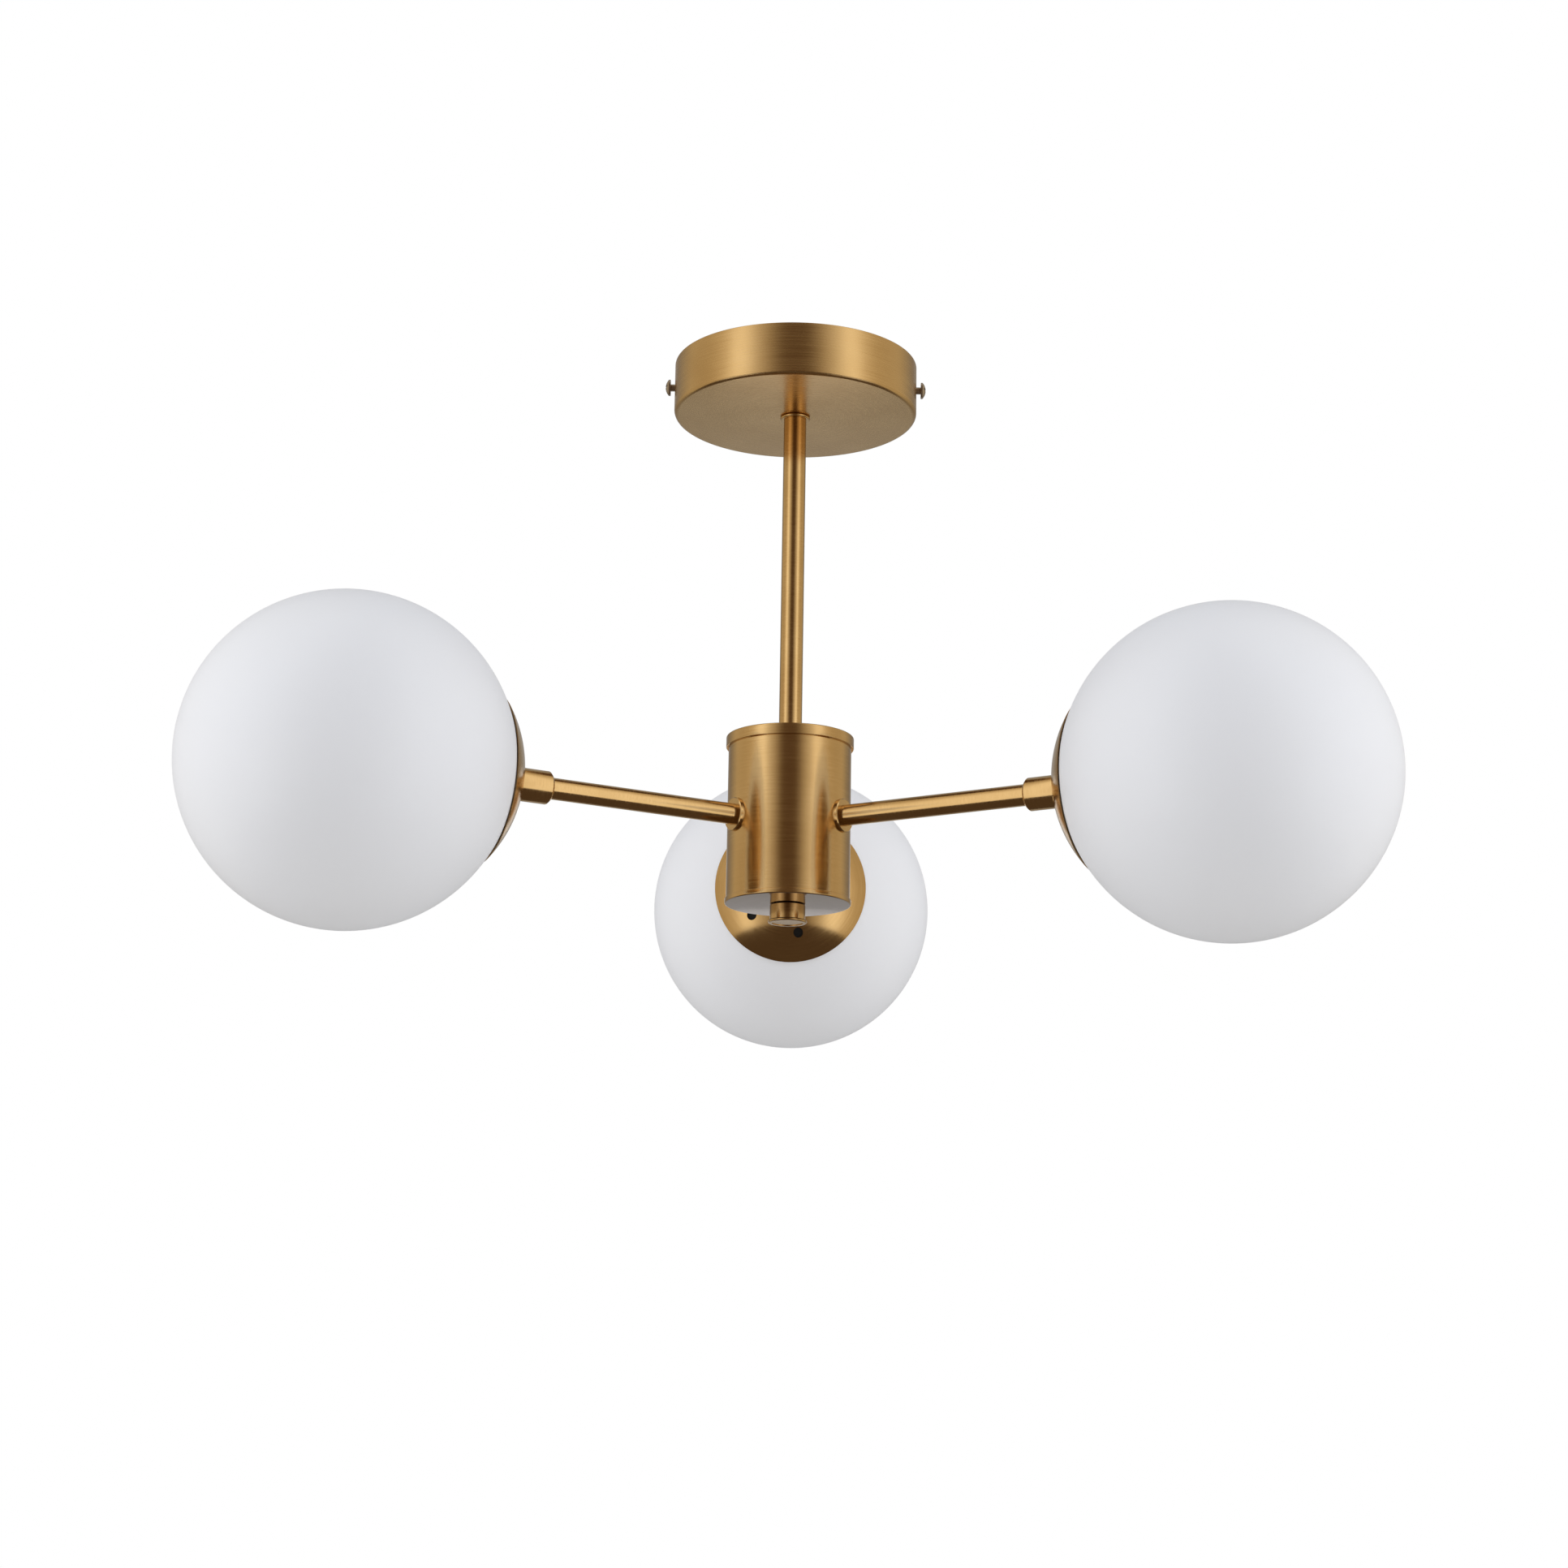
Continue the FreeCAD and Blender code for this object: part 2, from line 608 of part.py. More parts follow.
def make_hub_shell():
    """The hub's shell, with a round hole for each arm."""
    shell = tube("hub_shell", SHELL_BORE, S["hub_radius"], SHELL_END, SHELL_TOP)
    doc.recompute()
    whole = shell.Shape.Volume
    sketch = new_sketch(shell, "XZ_Plane")
    draw_circle(sketch, 0, ARM_HEIGHT, S["arm_radius"] + S["slip"])
    hole = shell.newObject("PartDesign::Pocket", "hub_shell_arm_hole")
    hole.Profile = sketch
    hole.setExpression("Length", (S["hub_radius"] + S["ring_stand"]).text)
    doc.recompute()
    cut = whole - shell.Shape.Volume
    ring = shell.newObject("PartDesign::PolarPattern", "hub_shell_arm_holes")
    ring.Originals = [hole]
    ring.Axis = (sketch, ["V_Axis"])
    ring.Angle = 360
    ring.Occurrences = ARM_COUNT
    shell.Tip = ring
    doc.recompute()
    if cut <= 0 or abs(whole - shell.Shape.Volume - ARM_COUNT * cut) > 1:
        raise RuntimeError("hub_shell: the arm holes are not all cut")
    turn = FreeCAD.Rotation(FreeCAD.Vector(0, 0, 1), 180)
    on_arm = FreeCAD.Vector(0, S["hub_radius"].value - S["hub_wall"].value / 2, ARM_HEIGHT.value)
    if shell.Shape.isInside(on_arm, 0.01, True):
        shell.Placement = FreeCAD.Placement(FreeCAD.Vector(), turn)


def make_finial():
    """The turned knob under the hub, with a rolled lip round its flat face."""
    body, foot, lip = S["finial_radius"], S["finial_foot_radius"], S["finial_lip_height"] / 2
    core, hole = S["finial_lip_radius"] - lip, THREAD_HOLE
    bend, top = FINIAL_END + lip, FINIAL_TOP
    socket = top - S["finial_thread_depth"] - S["seat_gap"]
    turned(
        "finial",
        Line(0, FINIAL_END + lip / 2),
        Line(foot, FINIAL_END + lip / 2),
        Line(foot, FINIAL_END),
        Line(core, FINIAL_END),
        Bend(core, bend + lip, core, bend),
        Line(body, bend + lip),
        Line(body, top),
        Line(hole, top),
        Line(hole, socket),
        Line(0, socket),
    )


def make_arm(number, azimuth):
    """One arm's tube, its saddle ring and nut at the hub, and the collar that carries the cup."""
    arm = S["arm_radius"]
    pipe = tube(f"arm_tube_{number}", S["arm_bore_radius"], arm, S["arm_start"], ARM_END, upright=False)
    swung(pipe, azimuth)
    hole, ring, chamfer = arm + S["slip"], S["ring_radius"], S["ring_chamfer"]
    blank = turned(
        f"arm_root_ring_{number}_blank",
        Line(ARM_NUT_FACE, hole),
        Line(RING_END, hole),
        Line(RING_END, ring - chamfer),
        Line(RING_END - chamfer, ring),
        Line(ARM_NUT_FACE, ring),
        upright=False,
    )
    hub = doc.addObject("Part::Cylinder", f"arm_root_ring_{number}_saddle")
    hub.setExpression("Radius", (S["hub_radius"] + S["slip"]).text)
    hub.setExpression("Height", (ring * 4).text)
    placed(hub, UPRIGHT, 0, 0, -(ring * 2))
    swung(cut_from(f"arm_root_ring_{number}", blank, hub), azimuth)
    collar, end = S["collar_radius"], ARM_END + S["seat_gap"]
    swung(
        turned(
            f"arm_end_collar_{number}",
            Line(COLLAR_START, hole),
            Line(end, hole),
            Line(end, THREAD_HOLE),
            Line(CUP_BACK, THREAD_HOLE),
            Line(CUP_BACK, collar),
            Line(COLLAR_START + S["collar_chamfer"], collar),
            Line(COLLAR_START, collar - S["collar_chamfer"]),
            upright=False,
        ),
        azimuth,
    )
    lock = nut(f"arm_lock_nut_{number}", S["arm_nut_radius"], S["arm_nut_height"], hole)
    along_arm(lock, azimuth, ARM_NUT_FACE - S["arm_nut_height"])


def make_cup(number, azimuth):
    """The domed cup behind a globe, with its vent holes, and the nut that holds it to the collar."""
    hole_back = behind(CUP_CENTRE, CUP_CURVE, THREAD_HOLE)
    hole_front = behind(CUP_CENTRE, CUP_INSIDE, THREAD_HOLE)
    cup = turned(
        f"glass_cup_{number}",
        Line(hole_back, THREAD_HOLE),
        Bend(RIM_PLANE, S["cup_rim_radius"], CUP_CENTRE, clockwise=True),
        Line(RIM_PLANE, RIM_BORE),
        Bend(hole_front, THREAD_HOLE, CUP_CENTRE),
        upright=False,
    )
    doc.recompute()
    whole = cup.Shape.Volume
    sketch = new_sketch(cup, "YZ_Plane")
    turn, place = S["vent_turn"].value, S["vent_place"]
    across = Size(math.sin(math.radians(turn)), f"sin({S['vent_turn'].text} * 1 deg)") * place
    down = Size(math.cos(math.radians(turn)), f"cos({S['vent_turn'].text} * 1 deg)") * place
    draw_circle(sketch, across, -down, S["vent_radius"])
    vent = cup.newObject("PartDesign::Pocket", f"glass_cup_{number}_vent")
    vent.Profile = sketch
    vent.Type = "ThroughAll"
    vent.Midplane = True
    doc.recompute()
    cut = whole - cup.Shape.Volume
    vents = cup.newObject("PartDesign::PolarPattern", f"glass_cup_{number}_vents")
    vents.Originals = [vent]
    vents.Axis = (sketch, ["N_Axis"])
    vents.Angle = 360
    vents.Occurrences = VENT_COUNT
    cup.Tip = vents
    doc.recompute()
    if cut <= 0 or abs(whole - cup.Shape.Volume - VENT_COUNT * cut) > 1:
        raise RuntimeError(f"glass_cup_{number}: the vent holes are not all cut")
    swung(cup, azimuth)
    holder_nut = nut(f"holder_nut_{number}", S["nut_radius"], S["holder_nut_height"], THREAD_HOLE)
    along_arm(holder_nut, azimuth, NUT_SEAT)
    start = ARM_END + S["holder_nipple_start"]
    end = HOLDER_START + S["lamp_holder_thread_depth"]
    nipple = f"holder_nipple_{number}"
    swung(tube(nipple, S["thread_bore_radius"], S["thread_radius"], start, end, upright=False), azimuth)


def make_globe(number, azimuth):
    """The opal globe, the threaded ring bonded into it, and the gasket behind it."""
    centre, outside, hole = S["globe_reach"], S["globe_radius"], S["globe_hole_radius"]
    inside = outside - S["globe_wall"]
    globe = turned(
        f"glass_globe_{number}",
        Line(behind(centre, outside, hole), hole),
        Bend(centre + outside, 0, centre, clockwise=True),
        Line(centre + inside, 0),
        Bend(behind(centre, inside, hole), hole, centre),
        upright=False,
    )
    swung(globe, azimuth)
    front, bore = behind(centre, outside, hole) - S["flange_gap"], S["thread_ring_bore"]
    back = front - S["flange_height"]
    end = back + S["thread_ring_height"]
    ring = turned(
        f"globe_thread_ring_{number}",
        Line(back, bore),
        Line(end, bore),
        Line(end, S["thread_ring_radius"]),
        Line(front, S["thread_ring_radius"]),
        Line(front, S["flange_radius"]),
        Line(back, S["flange_radius"]),
        upright=False,
    )
    swung(ring, azimuth)
    near, far = S["gasket_inner_radius"], S["gasket_outer_radius"]
    cup_face, glass_face = CUP_INSIDE - S["gasket_gap"], outside + S["gasket_gap"]
    gasket = turned(
        f"globe_gasket_{number}",
        Line(behind(CUP_CENTRE, cup_face, near), near),
        Bend(behind(CUP_CENTRE, cup_face, far), far, CUP_CENTRE, clockwise=True),
        Line(behind(centre, glass_face, far), far),
        Bend(behind(centre, glass_face, near), near, centre),
        upright=False,
    )
    swung(gasket, azimuth)


def make_lamp_holder(number, azimuth):
    """The black spigot that a globe screws onto, and the ceramic holder with two pin holes."""
    outside, end = S["spigot_radius"], SPIGOT_START + S["spigot_height"]
    spigot = turned(
        f"globe_spigot_{number}",
        Line(SPIGOT_START, THREAD_HOLE),
        Line(SPIGOT_FACE, THREAD_HOLE),
        Line(SPIGOT_FACE, outside - S["spigot_wall"]),
        Line(end, outside - S["spigot_wall"]),
        Line(end, outside),
        Line(SPIGOT_START, outside),
        upright=False,
    )
    swung(spigot, azimuth)
    depth = HOLDER_START + S["lamp_holder_thread_depth"] + S["seat_gap"]
    blank = turned(
        f"lamp_holder_{number}_blank",
        Line(HOLDER_START, THREAD_HOLE),
        Line(depth, THREAD_HOLE),
        Line(depth, 0),
        Line(HOLDER_END, 0),
        Line(HOLDER_END, S["lamp_holder_radius"]),
        Line(HOLDER_START, S["lamp_holder_radius"]),
        upright=False,
    )
    start = BULB_START - S["pin_length"] - S["pin_end_gap"]
    holes = pins(f"lamp_holder_{number}_hole", S["pin_radius"] + S["slip"], start, HOLDER_END)
    swung(cut_from(f"lamp_holder_{number}", blank, holes), azimuth)


def pins(label, radius, start, end):
    """Two round rods side by side across the arm, from one place along it to another."""
    rods = []
    for side, name in ((-1, "left"), (1, "right")):
        rod = doc.addObject("Part::Cylinder", f"{label}_{name}")
        rod.setExpression("Radius", radius.text)
        rod.setExpression("Height", (end - start).text)
        placed(rod, ALONG, start, S["pin_spacing"] / 2 * side, 0)
        rods.append(rod)
    pair = doc.addObject("Part::MultiFuse", f"{label}_pair")
    pair.Shapes = rods
    return pair


def make_bulb(number, azimuth):
    """The push-in bulb: its base with two pins, and its envelope."""
    joint = BULB_START + S["bulb_base_height"]
    radius = S["bulb_base_radius"]
    cap = turned(
        f"bulb_base_{number}_cap",
        Line(BULB_START, 0),
        Line(joint, 0),
        Line(joint, radius),
        Line(BULB_START, radius),
        upright=False,
    )
    rods = pins(f"bulb_base_{number}_pin", S["pin_radius"], BULB_START - S["pin_length"], joint)
    base = doc.addObject("Part::Fuse", f"bulb_base_{number}")
    base.Base, base.Tool = cap, rods
    swung(base, azimuth)
    bulb = S["bulb_radius"]
    dome = joint + S["bulb_length"] - bulb
    envelope = turned(
        f"bulb_envelope_{number}",
        Line(joint, 0),
        Line(joint, bulb),
        Line(dome, bulb),
        Bend(dome + bulb, 0, dome, clockwise=True),
        upright=False,
    )
    swung(envelope, azimuth)


def nodes():
    """Every finished piece: the solids that nothing else in the document uses."""
    kinds = ("PartDesign::Body", "Part::Cut", "Part::Fuse")
    booleans = [item for item in doc.Objects if item.TypeId in ("Part::Cut", "Part::Fuse")]
    used = {name for item in booleans for name in (item.Base.Name, item.Tool.Name)}
    return [item for item in doc.Objects if item.TypeId in kinds and item.Name not in used]


def check():
    """Stops the build if any object failed or any node is not one whole solid."""
    for item in doc.Objects:
        if {"Invalid", "Error"} & set(item.State):
            raise RuntimeError(f"{item.Label} failed: {item.State}")
    for node in nodes():
        if node.Shape.isNull() or not node.Shape.isValid() or len(node.Shape.Solids) != 1:
            raise RuntimeError(f"{node.Label} is not one valid solid")


def main():
    """Builds the light and writes one STEP file for each node."""
    make_bracket()
    make_earth_screw()
    make_terminal_block()
    make_canopy()
    make_canopy_screw("canopy_screw_right", UPRIGHT)
    make_canopy_screw("canopy_screw_left", FreeCAD.Rotation(FreeCAD.Vector(0, 0, 1), 180))
    make_stem()
    make_hub()
    make_hub_shell()
    make_finial()
    for index in range(ARM_COUNT):
        number, azimuth = index + 1, FIRST_ARM_DEG + index * 360 / ARM_COUNT
        make_arm(number, azimuth)
        make_cup(number, azimuth)
        make_globe(number, azimuth)
        make_lamp_holder(number, azimuth)
        make_bulb(number, azimuth)
    doc.recompute()
    check()
    os.makedirs("parts", exist_ok=True)
    for node in nodes():
        node.Shape.exportStep(f"parts/{node.Label}.step")
    print(f"{len(nodes())} nodes written")


main()
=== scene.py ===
"""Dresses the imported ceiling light: brushed antique brass, opal glass globes and the parts inside them.

Sizes are millimetres and become metres where a mesh is made. Every turned piece is drawn as an outline of
places along its axis and distances from it, and is then set on the stem's axis or on an arm's.
"""

import json
import logging
import math
from dataclasses import dataclass, field
from enum import Enum

import bmesh
import bpy
from mathutils import Matrix, Vector


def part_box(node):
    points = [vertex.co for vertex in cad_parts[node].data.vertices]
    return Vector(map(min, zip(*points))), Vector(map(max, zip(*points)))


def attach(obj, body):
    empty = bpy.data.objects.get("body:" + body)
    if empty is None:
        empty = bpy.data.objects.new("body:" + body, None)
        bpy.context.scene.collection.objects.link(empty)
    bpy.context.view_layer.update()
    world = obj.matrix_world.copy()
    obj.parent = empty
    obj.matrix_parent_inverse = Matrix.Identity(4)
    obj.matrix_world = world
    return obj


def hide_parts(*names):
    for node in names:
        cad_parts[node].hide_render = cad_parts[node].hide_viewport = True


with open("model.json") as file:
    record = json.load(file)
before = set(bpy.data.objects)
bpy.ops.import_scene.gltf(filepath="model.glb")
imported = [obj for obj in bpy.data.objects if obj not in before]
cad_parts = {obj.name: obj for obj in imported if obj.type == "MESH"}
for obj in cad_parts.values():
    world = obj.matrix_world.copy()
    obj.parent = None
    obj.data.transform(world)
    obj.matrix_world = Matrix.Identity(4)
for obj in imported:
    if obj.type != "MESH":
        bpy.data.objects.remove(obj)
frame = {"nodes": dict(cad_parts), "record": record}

LOG = logging.getLogger("ceiling_light")
MM = 0.001
PHOTO_SIDE = 1932
ARM_COUNT = 3
FIRST_ARM_DEG = 90
# Millimetres: the hole for the threaded tubes, the play between fitted parts, and two edge roundings.
THREAD_HOLE = 4.05
FIT_GAP = 0.05
SMALL_ROUND = 0.3
LEAST_ROUND = 0.2
SMOOTH_EDGE = math.radians(32)
ROUND_STEPS = 6
ON_AXIS = 1e-6
WELD_DISTANCE = 1e-7


class Axis(Enum):
    """The lines that turned pieces are set on, each with its name's number, or nought for the stem."""

    STEM = 0
    ARM_1 = 1
    ARM_2 = 2
    ARM_3 = 3

    @property
    def azimuth(self) -> float:
        """The way an arm points, in radians from +X."""
        return math.radians(FIRST_ARM_DEG + 360 / ARM_COUNT * (self.value - 1))

    @property
    def matrix(self) -> Matrix:
        """Takes a piece that is drawn along Z to this line, in metres."""
        if self is Axis.STEM:
            return Matrix.Identity(4)
        out = Vector((math.cos(self.azimuth), math.sin(self.azimuth), 0.0))
        up = Vector((0.0, 0.0, 1.0))
        turned_to = Matrix((up, out.cross(up), out)).transposed().to_4x4()
        return Matrix.Translation((0.0, 0.0, ARM_HEIGHT)) @ turned_to


def arm_height() -> float:
    """The height of the arms' axes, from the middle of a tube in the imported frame."""
    low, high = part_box("arm_tube_1")
    return (low.z + high.z) / 2


ARM_HEIGHT = arm_height()
ARMS = (Axis.ARM_1, Axis.ARM_2, Axis.ARM_3)


# Colours and nodes


def linear(colour: str) -> tuple[float, float, float, float]:
    """Turns an sRGB hex colour to linear.

    Args:
        colour: Six hex digits after a hash sign.

    Returns:
        Red, green, blue and a full alpha.
    """
    parts = [int(colour[i : i + 2], 16) / 255 for i in (1, 3, 5)]
    red, green, blue = (p / 12.92 if p <= 0.04045 else ((p + 0.055) / 1.055) ** 2.4 for p in parts)
    return red, green, blue, 1.0


def add_node(
    tree: bpy.types.NodeTree, kind: str, inputs: dict | None = None, **settings: object
) -> bpy.types.Node:
    """Adds a node.

    Args:
        tree: The tree that it joins.
        kind: Blender's name for it.
        inputs: A value, or an output socket to link, for each input's name or number.
        **settings: The node's own properties.

    Returns:
        The node.
    """
    node = tree.nodes.new(kind)
    for name, value in settings.items():
        setattr(node, name, value)
    for name, value in (inputs or {}).items():
        if isinstance(value, bpy.types.NodeSocket):
            tree.links.new(value, node.inputs[name])
        else:
            node.inputs[name].default_value = value
    return node


def new_material(name: str) -> tuple[bpy.types.Material, bpy.types.NodeTree, bpy.types.Node]:
    """Makes a material.

    Args:
        name: Its name.

    Returns:
        The material, its tree and its surface shader.
    """
    material = bpy.data.materials.new(name)
    material.use_nodes = True
    tree = material.node_tree
    return material, tree, tree.nodes["Principled BSDF"]


def turning_coordinates(tree: bpy.types.NodeTree, axis: Axis) -> dict[str, bpy.types.NodeSocket]:
    """Where a point of a turned piece is: how far along its axis, how far from it, and which way round.

    Args:
        tree: The material's tree.
        axis: The line that the piece was turned about.

    Returns:
        Sockets by the names along, out and round, in metres and radians.
    """
    place = add_node(tree, "ShaderNodeTexCoord").outputs["Object"]
    back = axis.matrix.inverted()
    settled = add_node(
        tree,
        "ShaderNodeMapping",
        {"Vector": place, "Rotation": back.to_euler("XYZ"), "Location": back.to_translation()},
        vector_type="POINT",
    )
    parts = add_node(tree, "ShaderNodeSeparateXYZ", {"Vector": settled.outputs[0]})
    across, deep, along = parts.outputs
    flat = add_node(tree, "ShaderNodeCombineXYZ", {"X": across, "Y": deep})
    out = add_node(tree, "ShaderNodeVectorMath", {0: flat.outputs[0]}, operation="LENGTH")
    way = add_node(tree, "ShaderNodeMath", {0: deep, 1: across}, operation="ARCTAN2")
    return {"along": along, "out": out.outputs["Value"], "round": way.outputs[0]}


# Finishes


@dataclass(frozen=True)
class BrushedBrass:
    """Antique brass, brushed while it turned: fine rings round the axis, which spread each highlight."""

    axis: Axis
    name: str = "brushed_brass"
    colour: str = "#D9B57E"
    dark_colour: str = "#CBA66F"
    roughness: float = 0.17
    # Real brushing is about 0.1 mm apart; it is drawn coarser, so that it shows at this distance.
    brush_spacing: float = 0.45
    patch_size: float = 26.0
    brush_depth: float = 0.003
    brush_strength: float = 0.5
    # A little of the angle goes into the marks, so that each starts and ends on the way round.
    marks_around: float = 1.6
    noise_detail: float = 3.0
    tint_range: tuple[float, float] = (0.12, 0.42)
    gloss_range: tuple[float, float] = (0.3, 0.7)
    gloss_spread: tuple[float, float] = (0.8, 1.25)
    slot: str = "antique_brass"

    def make(self) -> bpy.types.Material:
        """The material."""
        material, tree, shader = new_material(f"{self.name}_{self.axis.name.lower()}")
        where = turning_coordinates(tree, self.axis)
        rings_per_metre = 1 / (self.brush_spacing * MM)
        scales = {"along": rings_per_metre, "out": rings_per_metre, "round": self.marks_around}
        marks = [
            add_node(tree, "ShaderNodeMath", {0: where[part], 1: scale}, operation="MULTIPLY").outputs[0]
            for part, scale in scales.items()
        ]
        lines = add_node(tree, "ShaderNodeCombineXYZ", dict(zip("XYZ", marks)))
        brushing = add_node(
            tree,
            "ShaderNodeTexNoise",
            {"Vector": lines.outputs[0], "Scale": 1.0, "Detail": self.noise_detail},
        )
        bump = add_node(
            tree,
            "ShaderNodeBump",
            {
                "Height": brushing.outputs[0],
                "Strength": self.brush_strength,
                "Distance": self.brush_depth * MM,
            },
        )
        tree.links.new(bump.outputs[0], shader.inputs["Normal"])
        place = add_node(tree, "ShaderNodeTexCoord").outputs["Object"]
        patches = add_node(
            tree,
            "ShaderNodeTexNoise",
            {"Vector": place, "Scale": 1 / (self.patch_size * MM), "Detail": self.noise_detail},
        )
        both = add_node(
            tree,
            "ShaderNodeMath",
            {0: patches.outputs[0], 1: brushing.outputs[0]},
            operation="MULTIPLY",
        )
        dark_end, pale_end = self.tint_range
        share = add_node(
            tree,
            "ShaderNodeMapRange",
            {"Value": both.outputs[0], "From Min": dark_end, "From Max": pale_end},
        )
        tint = add_node(
            tree,
            "ShaderNodeMix",
            {"Factor": share.outputs[0], "A": linear(self.dark_colour), "B": linear(self.colour)},
            data_type="RGBA",
        )
        tree.links.new(tint.outputs["Result"], shader.inputs["Base Color"])
        dull = add_node(
            tree,
            "ShaderNodeMapRange",
            {
                "Value": brushing.outputs[0],
                "From Min": self.gloss_range[0],
                "From Max": self.gloss_range[1],
                "To Min": self.roughness * self.gloss_spread[0],
                "To Max": self.roughness * self.gloss_spread[1],
            },
        )
        tree.links.new(dull.outputs[0], shader.inputs["Roughness"])
        shader.inputs["Metallic"].default_value = 1.0
        return material


@dataclass(frozen=True)
class OpalGlass:
    """Blown opal glass with an etched skin: it scatters light inside, and gives no sharp reflection."""

    colour: str = "#E9EBF1"
    roughness: float = 0.42
    gloss_spread: float = 0.03
    ior: float = 1.5
    scatter_share: float = 0.25
    scatter_depth: float = 3.0
    swirl_size: float = 60.0
    slot: str = "opal_glass"

    def make(self) -> bpy.types.Material:
        """The material."""
        material, tree, shader = new_material("opal_glass")
        place = add_node(tree, "ShaderNodeTexCoord").outputs["Object"]
        swirl = add_node(tree, "ShaderNodeTexNoise", {"Vector": place, "Scale": 1 / (self.swirl_size * MM)})
        skin = add_node(
            tree,
            "ShaderNodeMapRange",
            {
                "Value": swirl.outputs[0],
                "To Min": self.roughness - self.gloss_spread,
                "To Max": self.roughness + self.gloss_spread,
            },
        )
        tree.links.new(skin.outputs[0], shader.inputs["Roughness"])
        shader.inputs["Base Color"].default_value = linear(self.colour)
        shader.inputs["IOR"].default_value = self.ior
        shader.inputs["Subsurface Weight"].default_value = self.scatter_share
        shader.inputs["Subsurface Scale"].default_value = self.scatter_depth * MM
        shader.inputs["Subsurface Radius"].default_value = (1.0, 1.0, 1.0)
        return material


@dataclass(frozen=True)
class PlainFinish:
    """A finish of one colour with a fine grain in its gloss and skin."""

    name: str
    slot: str
    colour: str
    roughness: float
    metallic: float = 0.0
    grain_size: float = 1.2
    grain_detail: float = 2.0
    grain_depth: float = 0.01
    grain_strength: float = 0.4
    gloss_spread: float = 0.08
    least_roughness: float = 0.02
    ior: float = 1.5

    def make(self) -> bpy.types.Material:
        """The material."""
        material, tree, shader = new_material(self.name)
        place = add_node(tree, "ShaderNodeTexCoord").outputs["Object"]
        grain = add_node(
            tree,
            "ShaderNodeTexNoise",
            {"Vector": place, "Scale": 1 / (self.grain_size * MM), "Detail": self.grain_detail},
        )
        gloss = add_node(
            tree,
            "ShaderNodeMapRange",
            {
                "Value": grain.outputs[0],
                "To Min": max(self.roughness - self.gloss_spread, self.least_roughness),
                "To Max": self.roughness + self.gloss_spread,
            },
        )
        bump = add_node(
            tree,
            "ShaderNodeBump",
            {
                "Height": grain.outputs[0],
                "Strength": self.grain_strength,
                "Distance": self.grain_depth * MM,
            },
        )
        tree.links.new(gloss.outputs[0], shader.inputs["Roughness"])
        tree.links.new(bump.outputs[0], shader.inputs["Normal"])
        shader.inputs["Base Color"].default_value = linear(self.colour)
        shader.inputs["Metallic"].default_value = self.metallic
        if not self.metallic:
            shader.inputs["IOR"].default_value = self.ior
        return material


# Moulded, plated and glazed finishes of the small parts, by the record's slot.
SMALL_FINISHES = (
    # Antique nickel plate over steel: grey-brown beside the brass.
    PlainFinish("nickel_plate", "plated_steel", "#B5A592", 0.3, metallic=1.0),
    # Zinc-plated steel strip and hardware: cool and soft.
    PlainFinish("zinc_plate", "zinc_strip", "#B9BBBC", 0.38, metallic=1.0, grain_size=3.0),
    # Bright turned brass of the earth screw.
    PlainFinish("bright_brass", "plain_brass", "#DDBB6C", 0.25, metallic=1.0),
    # Moulded nylon of the terminal block: off-white and waxy.
    PlainFinish("nylon", "block_plastic", "#E4E1D8", 0.5, ior=1.53),
    # Black glass-filled nylon of the spigots and the rings bonded into the globes.
    PlainFinish("black_nylon", "black_plastic", "#1B1B1C", 0.45, ior=1.53),
    # Black silicone: matte, and nearly without a highlight.
    PlainFinish("silicone", "black_silicone", "#101011", 0.7, ior=1.41),
    # Glazed steatite of the lamp holders: warm white with a sharp gloss.
    PlainFinish("glazed_steatite", "holder_ceramic", "#EDE9DF", 0.15, ior=1.55),
    # Moulded base of the bulb.
    PlainFinish("bulb_moulding", "bulb_plastic", "#F0F0EC", 0.3),
    # Frosted bulb envelope.
    PlainFinish("frosted_envelope", "frosted_bulb", "#F4F4F0", 0.5),
)


# Outlines


@dataclass(frozen=True)
class Corner:
    """A corner of an outline: its place along the axis, its distance from it, and its rounding."""

    along: float
    out: float
    rounding: float = 0.0


@dataclass(frozen=True)
class Sweep:
    """A round stretch of an outline that starts where it is and runs about a centre."""

    along: float
    out: float
    radius: float
    start: float
    end: float
    steps: int = 48

    def points(self) -> list[tuple[float, float]]:
        """Points of the stretch; angles are degrees from the axis's own way."""
        found = []
        for step in range(self.steps + 1):
            angle = math.radians(self.start + (self.end - self.start) * step / self.steps)
            out = self.out + self.radius * math.sin(angle)
            found.append((self.along + self.radius * math.cos(angle), max(out, 0.0)))
        return found


def rounded(before: tuple, corner: Corner, after: tuple) -> list[tuple[float, float]]:
    """Rounds one corner of an outline.

    Args:
        before: The point before it.
        corner: The corner.
        after: The point after it.

    Returns:
        The points that take the corner's place.
    """
    here = Vector((corner.along, corner.out))
    if not corner.rounding:
        return [tuple(here)]
    back, ahead = (Vector(before) - here).normalized(), (Vector(after) - here).normalized()
    half = back.angle(ahead) / 2
    reach, depth = corner.rounding / math.tan(half), corner.rounding / math.sin(half)
    centre = here + (back + ahead).normalized() * depth
    first, last = here + back * reach - centre, here + ahead * reach - centre
    points = []
    for step in range(ROUND_STEPS + 1):
        share = step / ROUND_STEPS
        spoke = (first * (1 - share) + last * share).normalized() * corner.rounding
        points.append(tuple(centre + spoke))
    return points


